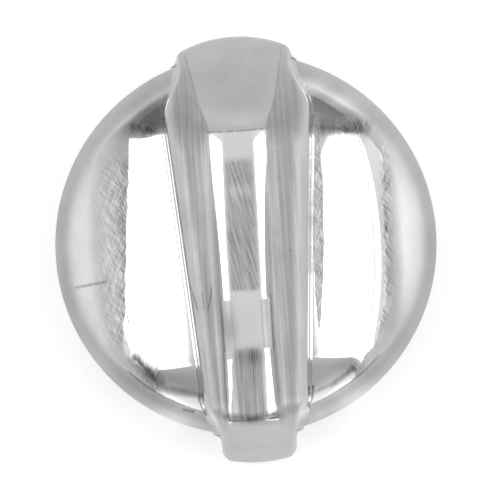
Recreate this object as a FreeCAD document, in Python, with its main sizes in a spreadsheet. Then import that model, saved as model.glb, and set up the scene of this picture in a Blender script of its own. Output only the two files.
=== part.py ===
"""Oven control knob: a die-cast metal shell with a grip bar, a moulded stem insert and its spring clip.

The shaft axis is Z, the front faces +Z, the rim of the back stands on z = 0 and the grip bar lies along Y.
"""
import FreeCAD, Part
import math
import os
import Sketcher

from FreeCAD import Placement, Rotation, Vector

doc = FreeCAD.newDocument("oven_knob")
sheet = doc.addObject("Spreadsheet::Sheet", "Sizes")

# Driving dimensions, in millimetres.
SIZES = {
    # Round disc: skirt, shoulder ring and the soft ring inside it.
    "disc_radius": 27.0,
    "skirt_draft": 0.3,
    "skirt_height": 6.9,
    "crest_radius": 24.3,
    "crest_height": 9.6,
    "shoulder_bend": 8.0,
    "dome_bend": 78.0,
    # Finger scoops on both sides of the bar.
    "trough_line": 7.2,
    "trough_floor": 5.35,
    "trough_reach": 21.5,
    "trough_rise": 7.15,
    "trough_bend": 42.0,
    "bowl_inner": 12.5,
    "bowl_outer": 24.2,
    "bowl_rise": 0.5,
    "bowl_drop": 5.3,
    "bowl_bend": 20.0,
    "summit_round": 4.5,
    # Plan of the grip bar where it meets the rim plane.
    "wide_tip": 29.25,
    "wide_tip_bend": 17.0,
    "wide_tip_drop": 2.05,
    "wide_lug_half": 8.15,
    "wide_half": 10.5,
    "middle_half": 9.3,
    "narrow_half": 7.5,
    "narrow_lug_half": 5.15,
    "narrow_tip": 30.75,
    "narrow_tip_bend": 16.0,
    "narrow_tip_drop": 0.5,
    "narrow_corner": 1.4,
    "side_draft": 0.06,
    # Side view of the grip bar.
    "bar_height": 22.0,
    "bar_fall": 0.5,
    "wide_brow": 15.9,
    "wide_lug_height": 9.1,
    "wide_brow_reach": 2.4,
    "narrow_brow": 24.4,
    "narrow_lug_height": 6.8,
    "narrow_brow_reach": 1.8,
    # Channel along the top of the bar, between two rounded ridges that die out at the ends.
    "channel_depth": 1.8,
    "end_depth": 0.6,
    "cove_rise": 0.45,
    "cove_share": 0.5,
    "ridge_wide": 7.1,
    "ridge_middle": 6.0,
    "ridge_narrow": 4.9,
    "ridge_end": 0.45,
    "crease_wide": 4.3,
    "crease_middle": 3.4,
    "crease_narrow": 2.9,
    "crease_end": 0.35,
    # Hollow back, with a socket for the insert and a rib on both sides of it.
    "wall": 2.0,
    "hollow_depth": 3.6,
    "hollow_edge": 6.0,
    "hollow_bevel": 2.2,
    "boss_radius": 6.6,
    "boss_face": 7.0,
    "rib_width": 1.6,
    "rib_step": 1.0,
    # Stem insert with its shaft hole.
    "plug_radius": 4.5,
    "plug_length": 7.0,
    "plug_clearance": 0.02,
    "collar_radius": 5.6,
    "collar_height": 1.4,
    "tail_radius": 4.8,
    "shaft_radius": 3.0,
    "shaft_clearance": 0.03,
    "shaft_flat": 1.6,
    "lead_clearance": 0.3,
    "lead_depth": 4.0,
    "socket_depth": 12.0,
    "slot_width": 1.0,
    "slot_depth": 5.0,
    # Spring clip in the groove of the insert's tail.
    "groove_depth": 0.55,
    "groove_foot": 1.0,
    "clip_height": 3.0,
    "clip_thickness": 0.5,
    "clip_clearance": 0.02,
    "clip_angle": 310.0,
}


class Size:
    """A size with its number and the sheet expression that gives it."""

    def __init__(self, text, number):
        self.text = text
        self.number = number

    def join(self, other, sign, number):
        return Size(f"({self.text} {sign} {as_size(other).text})", number)

    def __add__(self, other):
        return self.join(other, "+", self.number + as_size(other).number)

    def __sub__(self, other):
        return self.join(other, "-", self.number - as_size(other).number)

    def __mul__(self, other):
        return self.join(other, "*", self.number * as_size(other).number)

    def __truediv__(self, other):
        return self.join(other, "/", self.number / as_size(other).number)

    def __neg__(self):
        return Size(f"(0 - {self.text})", -self.number)

    def root(self):
        return Size(f"sqrt({self.text})", math.sqrt(self.number))


def as_size(amount):
    return amount if isinstance(amount, Size) else Size(str(amount), float(amount))


def fill_sheet():
    """Write every driving dimension to a cell of its own and hand the sizes back by name."""
    for row, (name, number) in enumerate(SIZES.items(), 1):
        sheet.set(f"A{row}", name)
        sheet.set(f"B{row}", str(number))
        sheet.setAlias(f"B{row}", name)
    doc.recompute()
    return {name: Size(f"Sizes.{name}", float(sheet.get(name))) for name in SIZES}


class Corner:
    """A corner of an outline, with the bend of the arc to the next corner, if it is not straight."""

    def __init__(self, x, y, bend=None, left=True):
        self.x = as_size(x)
        self.y = as_size(y)
        self.bend = as_size(bend) if bend is not None else None
        self.left = left

    def point(self):
        return Vector(self.x.number, self.y.number, 0)


PLANES = {
    "XY_Plane": Rotation(),
    "XZ_Plane": Rotation(Vector(1, 0, 0), 90),
    "YZ_Plane": Rotation(Vector(1, 1, 1), 120),
}


def bind(sketch, kind, geometry, size):
    """Add a dimension to the sketch and tie it to the sheet."""
    index = sketch.addConstraint(Sketcher.Constraint(kind, *geometry, size.number))
    sketch.setExpression(f"Constraints[{index}]", size.text)


def pin_point(sketch, item, end, corner):
    """Hold a point of the sketch at a corner's place."""
    for kind, axis, size in (("DistanceX", -2, corner.x), ("DistanceY", -1, corner.y)):
        if size.text == "0":
            sketch.addConstraint(Sketcher.Constraint("PointOnObject", item, end, axis))
        else:
            bind(sketch, kind, (-1, 1, item, end), size)


def bend_arc(start, finish, radius, left):
    """Arc of the shorter way from start to finish that bulges to the left or right of its run."""
    run = finish - start
    side = Vector(-run.y, run.x, 0).normalize()
    offset = math.sqrt(max(radius ** 2 - (run.Length / 2) ** 2, 0.0))
    centre = (start + finish) * 0.5 + side * (-offset if left else offset)
    first, last = (finish, start) if left else (start, finish)
    angles = [math.atan2(p.y - centre.y, p.x - centre.x) for p in (first, last)]
    return Part.ArcOfCircle(Part.Circle(centre, Vector(0, 0, 1), radius), *angles)


def outline(name, plane, corners):
    """Closed sketch through the corners, each held by its own dimensions."""
    sketch = doc.addObject("Sketcher::SketchObject", name)
    sketch.Placement = Placement(Vector(), PLANES[plane])
    runs = []
    for corner, following in zip(corners, corners[1:] + corners[:1]):
        start, finish = corner.point(), following.point()
        if corner.bend is None:
            item = sketch.addGeometry(Part.LineSegment(start, finish))
            runs.append((item, 1, 2))
        else:
            item = sketch.addGeometry(bend_arc(start, finish, corner.bend.number, corner.left))
            runs.append((item, 2, 1) if corner.left else (item, 1, 2))
            bind(sketch, "Radius", (item,), corner.bend)
    for index, corner in enumerate(corners):
        previous, _, end = runs[index - 1]
        following, start, _ = runs[index]
        sketch.addConstraint(Sketcher.Constraint("Coincident", previous, end, following, start))
        pin_point(sketch, following, start, corner)
    return sketch


def extrude(name, sketch, ahead, behind):
    """Solid of a sketch drawn out along its normal, ahead and behind its plane."""
    solid = doc.addObject("Part::Extrusion", name)
    solid.Base = sketch
    solid.DirMode = "Normal"
    solid.Solid = True
    solid.setExpression("LengthFwd", as_size(ahead).text)
    solid.setExpression("LengthRev", as_size(behind).text)
    return solid


def revolve(name, sketch):
    """Solid of a half section turned round the shaft axis."""
    solid = doc.addObject("Part::Revolution", name)
    solid.Source = sketch
    solid.Axis = Vector(0, 0, 1)
    solid.Angle = 360
    solid.Solid = True
    return solid


def loft(name, sections):
    """Solid through a row of sections, straight from each to the next."""
    solid = doc.addObject("Part::Loft", name)
    solid.Sections = sections
    solid.Solid = True
    solid.Ruled = True
    return solid


def combine(kind, name, base, tool):
    """Cut, fuse or common of two solids."""
    solid = doc.addObject(f"Part::{kind}", name)
    solid.Base = base
    solid.Tool = tool
    return solid


def mirror_side(name, source):
    """Copy of a solid on the other side of the bar."""
    solid = doc.addObject("Part::Mirroring", name)
    solid.Source = source
    solid.Normal = Vector(1, 0, 0)
    return solid


def fillet(name, base, picks, radius):
    """Round the edges of a solid that a test picks out."""
    doc.recompute()
    chosen = [number for number, edge in enumerate(base.Shape.Edges, 1) if picks(edge)]
    solid = doc.addObject("Part::Fillet", name)
    solid.Base = base
    solid.Edges = [(number, radius.number, radius.number) for number in chosen]
    return solid


def dome_height(size):
    """Height of the dome over the shaft axis, above the crest of the shoulder."""
    bend, crest = size["dome_bend"], size["crest_radius"]
    return bend - (bend * bend - crest * crest).root()


def disc_blank(size):
    """Skirt, shoulder ring and flat dome as one turned form."""
    section = outline("disc_section", "XZ_Plane", [
        Corner(0, 0),
        Corner(size["disc_radius"], 0),
        Corner(size["disc_radius"] - size["skirt_draft"], size["skirt_height"], size["shoulder_bend"], False),
        Corner(size["crest_radius"], size["crest_height"], size["dome_bend"], False),
        Corner(0, size["crest_height"] + dome_height(size)),
    ])
    return revolve("disc_blank", section)


def scoop_cutter(size):
    """Space of one finger scoop: a trough along the bar, closed by a bowl-shaped wall at both ends."""
    above = size["bar_height"] * 2
    floor = size["trough_floor"]
    trough = outline("trough_section", "XZ_Plane", [
        Corner(0, above),
        Corner(0, floor),
        Corner(size["trough_line"], floor, size["trough_bend"], False),
        Corner(size["trough_reach"], floor + size["trough_rise"]),
        Corner(size["disc_radius"] * 2, above),
    ])
    trough_space = extrude("trough_space", trough, size["disc_radius"], size["disc_radius"])
    rim = size["crest_height"] + size["bowl_rise"]
    bowl = outline("bowl_section", "XZ_Plane", [
        Corner(0, above),
        Corner(0, rim - size["bowl_drop"]),
        Corner(size["bowl_inner"], rim - size["bowl_drop"], size["bowl_bend"], False),
        Corner(size["bowl_outer"], rim),
        Corner(size["bowl_outer"], above),
    ])
    return combine("Common", "scoop_space", trough_space, revolve("bowl_space", bowl))


def scooped_disc(size):
    """Disc with both finger scoops, the long edge of each scoop softly rounded."""
    right = combine("Cut", "disc_right", disc_blank(size), scoop_cutter(size))

    def long_edge(edge):
        middle = edge.CenterOfMass
        outside = middle.x > (size["trough_line"].number + size["trough_reach"].number) / 2
        return outside and middle.z > size["crest_height"].number and "BSpline" in edge.Curve.TypeId

    soft = fillet("disc_right_soft", right, long_edge, size["summit_round"])
    return combine("Common", "disc_scooped", soft, mirror_side("disc_left_soft", soft))


def blend(first, last, share):
    return first + (last - first) * share


class Station:
    """Place along the bar with its crest height and the half-widths of its section."""

    def __init__(self, along, crest, foot, ridge, crease, depth):
        self.along = along
        self.crest = crest
        self.foot = foot
        self.ridge = ridge
        self.crease = crease
        self.depth = depth


class BarEnd:
    """Sloping end of the bar, from its brow to its lug, with the ridges dying out along it."""

    def __init__(self, size, end):
        self.size = size
        self.top = size["bar_height"] if end == "wide" else size["bar_height"] - size["bar_fall"]
        self.half = size[f"{end}_half"]
        self.lug_half = size[f"{end}_lug_half"]
        self.brow = size[f"{end}_brow"]
        self.reach = size[f"{end}_brow_reach"]
        self.ridge = size[f"ridge_{end}"]
        self.crease = size[f"crease_{end}"]
        self.drop = size[f"{end}_tip_drop"]
        self.tip = size[f"{end}_tip"]
        self.lug = self.tip - self.drop
        self.slope = (self.top - size[f"{end}_lug_height"]) / (self.lug - self.brow)

    def crest(self, along, turn):
        """Crest height; turn runs from -1 to 1 over the rounded brow and is None past it."""
        if turn is None:
            return self.top - (along - self.brow) * self.slope
        return self.top - self.slope * self.reach * ((1 + turn) ** 2 / 4)

    def station(self, along, turn=None):
        share = (along - self.brow) / (self.lug - self.brow)
        crest = self.crest(along, turn)
        foot = self.half - (self.half - self.lug_half) * share * share
        side = foot - self.size["side_draft"] * crest
        last_ridge = side - self.size["ridge_end"]
        return Station(along, crest, foot, blend(self.ridge, last_ridge, share),
                       blend(self.crease, last_ridge - self.size["crease_end"], share),
                       blend(self.size["channel_depth"], self.size["end_depth"], share))

    def stations(self):
        """Stations of the brow, the slope, the lug and a little past the tip."""
        brow = [self.station(self.brow + self.reach * turn, turn) for turn in (0, 0.5, 1)]
        slope = [blend(self.brow + self.reach, self.lug, 0.5), self.lug, self.tip + self.drop / 2]
        return brow + [self.station(along) for along in slope]


def bar_stations(size):
    """Stations from past the wide end to past the narrow end."""
    wide, narrow = BarEnd(size, "wide"), BarEnd(size, "narrow")
    depth = size["channel_depth"]
    middle = Station(as_size(0), blend(wide.top, narrow.top, 0.5), size["middle_half"], size["ridge_middle"],
                     size["crease_middle"], depth)

    def level(end, turn):
        """Station of the straight taper beside a brow, where the brow's rounding has begun or not."""
        along = end.brow + end.reach * turn
        share = along / end.brow
        return Station(along, end.crest(along, turn), blend(middle.foot, end.half, share),
                       blend(middle.ridge, end.ridge, share), blend(middle.crease, end.crease, share), depth)

    row = wide.stations()[::-1] + [level(wide, -0.5), level(wide, -1), middle]
    far = [level(narrow, -1), level(narrow, -0.5)] + narrow.stations()
    for station in far:
        station.along = -station.along
    return row + far


def bar_section(number, station, size):
    """Section across the bar: flanks, two rounded ridges and the channel with coved sides between them."""
    depth = station.depth
    side = station.foot - size["side_draft"] * station.crest
    round_over = side - station.ridge
    cove, cove_rise = station.crease * size["cove_share"], depth * size["cove_rise"]
    floor_half = station.crease - cove
    swell, swell_rise = station.ridge - station.crease, depth - cove_rise
    cove_bend = (cove * cove + cove_rise * cove_rise) / (cove_rise * 2)
    swell_bend = (swell * swell + swell_rise * swell_rise) / (swell_rise * 2)
    crest, floor = station.crest, station.crest - depth
    right = [
        Corner(station.foot, 0),
        Corner(side, crest - round_over, round_over, False),
        Corner(station.ridge, crest, swell_bend, False),
        Corner(station.crease, floor + cove_rise, cove_bend, True),
        Corner(floor_half, floor),
    ]
    left = [
        Corner(-floor_half, floor, cove_bend, True),
        Corner(-station.crease, floor + cove_rise, swell_bend, False),
        Corner(-station.ridge, crest, round_over, False),
        Corner(-side, crest - round_over),
        Corner(-station.foot, 0),
    ]
    sketch = outline(f"bar_section_{number}", "XZ_Plane", right + left)
    sketch.setExpression("Placement.Base.y", station.along.text)
    return sketch


def grip_bar(size):
    """Grip bar: a loft through its sections, trimmed in plan by the curved ends."""
    sections = [bar_section(number, station, size) for number, station in enumerate(bar_stations(size), 1)]
    skin = loft("bar_skin", sections)
    reach, bend, corner = size["disc_radius"], size["wide_tip_bend"], size["narrow_corner"]
    half = size["wide_half"]
    sag = bend - (bend * bend - half * half).root()
    nose, nose_half = BarEnd(size, "narrow").lug, size["narrow_lug_half"]
    trim = outline("bar_trim", "XY_Plane", [
        Corner(half, size["wide_tip"] - sag, bend, False),
        Corner(-half, size["wide_tip"] - sag),
        Corner(-reach, 0),
        Corner(-nose_half, corner - nose, corner, False),
        Corner(corner - nose_half, -nose, size["narrow_tip_bend"], False),
        Corner(nose_half - corner, -nose, corner, False),
        Corner(nose_half, corner - nose),
        Corner(reach, 0),
    ])
    slab = extrude("bar_trim_slab", trim, size["bar_height"] * 2, size["wall"])
    return combine("Common", "grip_bar", skin, slab)


def box(name, width, length, height, centre_along, foot):
    """Block that is centred on the bar's middle line."""
    solid = doc.addObject("Part::Box", name)
    for prop, amount in (("Length", width), ("Width", length), ("Height", height)):
        solid.setExpression(prop, as_size(amount).text)
    solid.setExpression("Placement.Base.x", (-as_size(width) / 2).text)
    solid.setExpression("Placement.Base.y", (as_size(centre_along) - as_size(length) / 2).text)
    solid.setExpression("Placement.Base.z", as_size(foot).text)
    return solid


def cylinder(name, radius, foot, height):
    """Round bar or hole on the shaft axis."""
    solid = doc.addObject("Part::Cylinder", name)
    solid.setExpression("Radius", as_size(radius).text)
    solid.setExpression("Height", as_size(height).text)
    solid.setExpression("Placement.Base.z", as_size(foot).text)
    return solid


def disc_hollow(size):
    """Shallow round hollow behind the disc, deeper along its edge."""
    wall, depth, edge, bevel = size["wall"], size["hollow_depth"], size["hollow_edge"], size["hollow_bevel"]
    inside = size["disc_radius"] - size["skirt_draft"] - wall
    section = outline("hollow_section", "XZ_Plane", [
        Corner(0, -wall),
        Corner(inside, -wall),
        Corner(inside, edge),
        Corner(inside - bevel / 2, edge),
        Corner(inside - bevel / 2 - bevel, depth),
        Corner(0, depth),
    ])
    return revolve("disc_hollow", section)


def bar_hollow(size):
    """Hollow inside the grip bar, one wall in from its flanks, channel and sloping ends."""
    wall, wide, narrow = size["wall"], BarEnd(size, "wide"), BarEnd(size, "narrow")
    inset = wall + size["side_draft"] * size["bar_height"]
    roof = narrow.top - size["channel_depth"] - wall
    wide_end, narrow_end = wide.lug - wall, narrow.lug - wall
    plan = outline("bar_hollow_plan", "XY_Plane", [
        Corner(wide.lug_half - inset, wide_end),
        Corner(inset - wide.lug_half, wide_end),
        Corner(inset - wide.half, wide.brow),
        Corner(inset - size["middle_half"], 0),
        Corner(inset - narrow.half, -narrow.brow),
        Corner(inset - narrow.lug_half, -narrow_end),
        Corner(narrow.lug_half - inset, -narrow_end),
        Corner(narrow.half - inset, -narrow.brow),
        Corner(size["middle_half"] - inset, 0),
        Corner(wide.half - inset, wide.brow),
    ])
    core = extrude("bar_hollow_core", plan, size["bar_height"], wall)
    wide_back, narrow_back = wall * 2, wall * 1.5
    wide_low = roof - (wide_end - wide.brow + wide_back) * wide.slope
    narrow_low = roof - (narrow_end - narrow.brow + narrow_back) * narrow.slope
    side = outline("bar_hollow_side", "YZ_Plane", [
        Corner(wide_end, -wall),
        Corner(wide_end, wide_low),
        Corner(wide.brow - wide_back, roof),
        Corner(narrow_back - narrow.brow, roof),
        Corner(-narrow_end, narrow_low),
        Corner(-narrow_end, -wall),
    ])
    slab = extrude("bar_hollow_slab", side, size["disc_radius"], size["disc_radius"])
    return combine("Common", "bar_hollow", core, slab)


def knob_shell(size):
    """Cast shell: disc and bar as one piece, hollow at the back round a socket with two ribs."""
    front = combine("Fuse", "knob_front", scooped_disc(size), grip_bar(size))
    hollow = combine("Fuse", "hollow", disc_hollow(size), bar_hollow(size))
    above = size["bar_height"]
    boss = cylinder("boss", size["boss_radius"], size["boss_face"], above)
    rib_foot = size["boss_face"] + size["rib_step"]
    rib = box("rib", size["rib_width"], size["disc_radius"] * 2, above, 0, rib_foot)
    space = combine("Cut", "hollow_space", hollow, combine("Fuse", "boss_and_rib", boss, rib))
    socket = cylinder("boss_socket", size["plug_radius"], 0, size["boss_face"] + size["plug_length"])
    shell = combine("Cut", "knob_shell", combine("Cut", "knob_cast", front, space), socket)
    shell.Label = "knob_body"
    return shell


def stem_insert(size):
    """Moulded hub: a plug for the boss, a collar against its face and a slotted tail round the shaft."""
    lead = size["shaft_radius"] + size["lead_clearance"]
    bore = size["shaft_radius"] + size["shaft_clearance"]
    plug = size["plug_radius"] - size["plug_clearance"]
    collar_foot = size["boss_face"] - size["collar_height"]
    top = size["boss_face"] + size["plug_length"] - size["plug_clearance"]
    groove = size["tail_radius"] - size["groove_depth"]
    groove_top = size["groove_foot"] + size["clip_height"] + size["clip_clearance"] * 2
    section = outline("insert_section", "XZ_Plane", [
        Corner(0, size["lead_depth"]),
        Corner(lead, size["lead_depth"]),
        Corner(lead, 0),
        Corner(size["tail_radius"], 0),
        Corner(size["tail_radius"], size["groove_foot"]),
        Corner(groove, size["groove_foot"]),
        Corner(groove, groove_top),
        Corner(size["tail_radius"], groove_top),
        Corner(size["tail_radius"], collar_foot),
        Corner(size["collar_radius"], collar_foot),
        Corner(size["collar_radius"], size["boss_face"]),
        Corner(plug, size["boss_face"]),
        Corner(plug, top),
        Corner(0, top),
    ])
    hub = revolve("insert_hub", section)
    round_hole = cylinder("shaft_round", bore, 0, size["socket_depth"])
    flat_side = size["shaft_flat"] + size["shaft_clearance"]
    keep = box("shaft_flat_side", bore * 4, bore * 4, size["socket_depth"], bore * 2 - flat_side, 0)
    drilled = combine("Cut", "insert_drilled", hub, combine("Common", "shaft_space", round_hole, keep))
    slot = box("insert_slot", size["tail_radius"] * 3, size["slot_width"], size["slot_depth"], 0, 0)
    insert = combine("Cut", "insert_slotted", drilled, slot)
    insert.Label = "stem_insert"
    return insert


def spring_clip(size):
    """Open ring of spring steel that closes the slotted tail on the shaft."""
    inside = size["tail_radius"] - size["groove_depth"] + size["clip_clearance"]
    foot = size["groove_foot"] + size["clip_clearance"]
    ring = cylinder("clip_ring", inside + size["clip_thickness"], foot, size["clip_height"])
    ring.setExpression("Angle", size["clip_angle"].text)
    ring.Placement.Rotation = Rotation(Vector(0, 0, 1), 1)
    ring.setExpression("Placement.Rotation.Angle", (as_size(450) - size["clip_angle"] / 2).text)
    clip = combine("Cut", "clip_band", ring, cylinder("clip_inside", inside, 0, size["bar_height"]))
    clip.Label = "spring_clip"
    return clip


def check(pieces):
    """Stop if any object failed or any piece is not one sound solid."""
    failed = [item.Name for item in doc.Objects if {"Invalid", "Error"} & set(item.State)]
    for piece in pieces:
        if piece.Shape.isNull() or not piece.Shape.isValid() or len(piece.Shape.Solids) != 1:
            failed.append(piece.Label)
    if failed:
        raise RuntimeError("failed: " + ", ".join(failed))


size = fill_sheet()
pieces = [knob_shell(size), stem_insert(size), spring_clip(size)]
doc.recompute()
check(pieces)
os.makedirs("parts", exist_ok=True)
for piece in pieces:
    piece.Shape.exportStep(f"parts/{piece.Label}.step")
    print(piece.Label, round(piece.Shape.Volume, 1))
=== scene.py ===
"""Looks of the oven control knob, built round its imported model. Sizes in the forms are in millimetres."""

import logging
import math
from dataclasses import dataclass
from enum import Enum
from typing import Any, Sequence

import bpy
import numpy as np
from mathutils import Euler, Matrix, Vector


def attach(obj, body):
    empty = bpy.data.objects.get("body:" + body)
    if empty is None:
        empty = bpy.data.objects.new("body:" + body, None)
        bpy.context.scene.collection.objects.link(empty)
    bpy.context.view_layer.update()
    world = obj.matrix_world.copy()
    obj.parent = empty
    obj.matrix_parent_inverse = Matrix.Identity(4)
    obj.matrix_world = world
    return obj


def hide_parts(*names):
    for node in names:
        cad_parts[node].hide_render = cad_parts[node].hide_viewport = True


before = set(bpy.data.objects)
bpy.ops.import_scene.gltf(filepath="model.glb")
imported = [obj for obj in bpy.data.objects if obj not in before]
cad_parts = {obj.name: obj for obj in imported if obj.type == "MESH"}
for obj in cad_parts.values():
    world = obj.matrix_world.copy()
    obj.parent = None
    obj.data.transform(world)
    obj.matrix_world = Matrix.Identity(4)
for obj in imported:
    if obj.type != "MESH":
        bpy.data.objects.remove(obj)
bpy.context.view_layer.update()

LOG = logging.getLogger("knob")
MM = 0.001
BODY = "root"
TINY = 1e-9
UNIT = (0.0, 1.0)

# Spans round a half that take in more and more of what a noise gives, and how fine the noises are.
NOISE_CORE = (0.38, 0.62)
NOISE_MOST = (0.35, 0.65)
NOISE_WIDE = (0.3, 0.7)
NOISE_ALL = (0.25, 0.75)
NOISE_DETAIL = 3.0
LINE_DETAIL = 4.0
LINE_ROUGHNESS = 0.65

Array = np.ndarray
Pair = tuple[float, float]


def linear(hex_colour: str) -> tuple[float, float, float, float]:
    """Turn an sRGB hex colour into linear light.

    Args:
        hex_colour: Six hex digits after a hash.

    Returns:
        Red, green, blue and full alpha.
    """
    parts = [int(hex_colour[i:i + 2], 16) / 255 for i in (1, 3, 5)]
    light = [p / 12.92 if p <= 0.04045 else ((p + 0.055) / 1.055) ** 2.4 for p in parts]
    return (*light, 1.0)


def add_node(tree: Any, kind: str, settings: dict[str, Any] | None = None,
             links: dict[Any, Any] | None = None) -> Any:
    """Add a node with its settings and links.

    Args:
        tree: Node tree that takes the node.
        kind: Node type's identifier.
        settings: Properties of the node by name.
        links: Input name or number to a value, or to the output socket that feeds it.

    Returns:
        The new node.
    """
    node = tree.nodes.new(kind)
    for name, value in (settings or {}).items():
        setattr(node, name, value)
    for key, value in (links or {}).items():
        socket = node.inputs[key]
        if isinstance(value, bpy.types.NodeSocket):
            tree.links.new(value, socket)
        else:
            socket.default_value = value
    return node


def calculate(tree: Any, operation: str, first: Any, second: Any) -> Any:
    """Add a math node and return its output."""
    return add_node(tree, "ShaderNodeMath", {"operation": operation}, {0: first, 1: second}).outputs[0]


def mix_colour(tree: Any, share: Any, first: Any, second: Any) -> Any:
    """Add a colour mix and return its output."""
    return add_node(tree, "ShaderNodeMix", {"data_type": "RGBA"}, {0: share, 6: first, 7: second}).outputs[2]


def spread(tree: Any, value: Any, inside: Pair, outside: Pair) -> Any:
    """Add a map-range node from one range to another and return its output."""
    return add_node(tree, "ShaderNodeMapRange", None,
                    {"Value": value, "From Min": inside[0], "From Max": inside[1], "To Min": outside[0],
                     "To Max": outside[1]}).outputs[0]


def swing(tree: Any, noise: Any, span: Pair, depth: float) -> Any:
    """Turn noise into a swing round 0 and return its output."""
    return spread(tree, noise, span, (-depth, depth))


def vector_math(tree: Any, operation: str, first: Any, second: Any, output: str = "Vector") -> Any:
    """Add a vector math node and return one of its outputs."""
    links = {0: first, 1: second}
    return add_node(tree, "ShaderNodeVectorMath", {"operation": operation}, links).outputs[output]


def scaled(tree: Any, vector: Any, factor: Any) -> Any:
    """Add a node that scales a vector or a colour and return its output."""
    links = {0: vector, "Scale": factor}
    return add_node(tree, "ShaderNodeVectorMath", {"operation": "SCALE"}, links).outputs[0]


def feed(tree: Any, shader: Any, sockets: dict[str, Any]) -> None:
    """Link sockets to a shader's inputs by name."""
    for name, socket in sockets.items():
        tree.links.new(socket, shader.inputs[name])


def new_material(name: str) -> tuple[bpy.types.Material, Any, Any]:
    """Make a material with nodes.

    Args:
        name: Name of the real material.

    Returns:
        The material, its node tree and its shader.
    """
    material = bpy.data.materials.new(name)
    material.use_nodes = True
    return material, material.node_tree, material.node_tree.nodes["Principled BSDF"]


def cloud(tree: Any, place: Any, size: float) -> Any:
    """Add noise with features of a size in millimetres and return its values round a half."""
    links = {"Vector": place, "Scale": 1 / (size * MM), "Detail": NOISE_DETAIL}
    return add_node(tree, "ShaderNodeTexNoise", None, links).outputs["Fac"]


def lines(tree: Any, place: Any, turn: float, scale: Pair, shift: float) -> Any:
    """Fine parallel lines from stretched noise.

    Args:
        tree: Node tree of the material.
        place: Socket with the place on the piece.
        turn: Direction of the lines in degrees from the bar's length.
        scale: Detail per millimetre across and along the lines.
        shift: Offset that tells sets of lines apart.

    Returns:
        Socket with values round a half.
    """
    across, along = MM / scale[0], MM / scale[1]
    mapped = add_node(tree, "ShaderNodeMapping", {"vector_type": "TEXTURE"}, {
        "Vector": place, "Location": (shift, shift, 0.0), "Rotation": (0.0, 0.0, math.radians(turn)),
        "Scale": (across, along, along)})
    return add_node(tree, "ShaderNodeTexNoise", None, {
        "Vector": mapped.outputs[0], "Scale": 1.0, "Detail": LINE_DETAIL,
        "Roughness": LINE_ROUGHNESS}).outputs["Fac"]


def arc_centre(start: Pair, end: Pair, bend: float) -> Pair:
    """Centre of an arc in a section, on the left of the way from its start to its end.

    Args:
        start: Place and height where the arc begins.
        end: Place and height where the arc ends.
        bend: Radius of the arc.

    Returns:
        Place and height of the centre.
    """
    run, rise = end[0] - start[0], end[1] - start[1]
    chord = math.hypot(run, rise)
    back = math.sqrt(bend * bend - chord * chord / 4) / chord
    return (start[0] + end[0]) / 2 - rise * back, (start[1] + end[1]) / 2 + run * back


def arc_height(start: Pair, end: Pair, bend: float, at: Array) -> Array:
    """Height of a hollow arc between two points of a section.

    Args:
        start: Place and height where the arc begins.
        end: Place and height where the arc ends.
        bend: Radius of the arc, whose centre lies above it.
        at: Places to read.

    Returns:
        Heights at those places.
    """
    centre = arc_centre(start, end, bend)
    return centre[1] - np.sqrt(np.maximum(bend * bend - (at - centre[0]) ** 2, 0.0))


def soft_least(first: Array, second: Array, reach: float) -> Array:
    """Smaller of two heights, rounded over where they are closer than reach."""
    near = np.maximum(reach - np.abs(first - second), 0.0) / reach
    return np.minimum(first, second) - near * near * reach / 4


def smooth_step(low: float | Array, high: float | Array, value: Array) -> Array:
    """Ramp from 0 at low to 1 at high with soft ends."""
    share = np.clip((value - low) / (high - low), 0.0, 1.0)
    return share * share * (3 - 2 * share)


def grid_faces(rows: int, columns: int, first: int = 0, closed: bool = False) -> list[tuple[int, ...]]:
    """Quads of a grid of points that is numbered row by row.

    Args:
        rows: Rows of points.
        columns: Points in a row.
        first: Number of the grid's first point.
        closed: Whether the last column joins the first one.

    Returns:
        Corner numbers of each quad.
    """
    faces = []
    for row in range(rows - 1):
        for column in range(columns if closed else columns - 1):
            after = (column + 1) % columns
            low, high = first + row * columns, first + (row + 1) * columns
            faces.append((low + column, low + after, high + after, high + column))
    return faces


def ring(reach: float, level: float, angles: Array) -> Array:
    """Points of a level ring round the shaft axis."""
    return np.stack([reach * np.cos(angles), reach * np.sin(angles), np.full(len(angles), level)], 1)


def mesh_object(name: str, points: Array, faces: Sequence[tuple[int, ...]]) -> bpy.types.Object:
    """Make an object from points in millimetres.

    Args:
        name: Name of the object and its mesh.
        points: Corner positions, one row each.
        faces: Corner numbers of each face.

    Returns:
        The linked object.
    """
    mesh = bpy.data.meshes.new(name)
    mesh.from_pydata((points * MM).tolist(), [], faces)
    mesh.update()
    made = bpy.data.objects.new(name, mesh)
    bpy.context.scene.collection.objects.link(made)
    return made


def drop_object(unwanted: bpy.types.Object) -> None:
    """Remove an object and its mesh.

    Args:
        unwanted: Object that has done its work.
    """
    mesh = unwanted.data
    bpy.data.objects.remove(unwanted)
    bpy.data.meshes.remove(mesh)


def settle_modifiers(piece: bpy.types.Object) -> None:
    """Make the result of an object's modifiers its own plain mesh.

    Args:
        piece: Object that keeps its name and loses its modifiers.
    """
    graph = bpy.context.evaluated_depsgraph_get()
    settled = bpy.data.meshes.new_from_object(piece.evaluated_get(graph))
    old, name = piece.data, piece.data.name
    piece.modifiers.clear()
    piece.data = settled
    bpy.data.meshes.remove(old)
    settled.name = name


class Join(Enum):
    """Ways to combine two closed meshes."""

    UNITE = "UNION"
    CUT = "DIFFERENCE"


def combine(base: bpy.types.Object, tool: bpy.types.Object, way: Join) -> None:
    """Unite a mesh with another or cut the other from it, and drop the other.

    Args:
        base: Closed mesh that takes the result.
        tool: Closed mesh that is united with it or cut from it.
        way: What is done.
    """
    step = base.modifiers.new(way.name.lower(), "BOOLEAN")
    step.operation = way.value
    step.solver = "EXACT"
    step.object = tool
    settle_modifiers(base)
    drop_object(tool)


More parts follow.
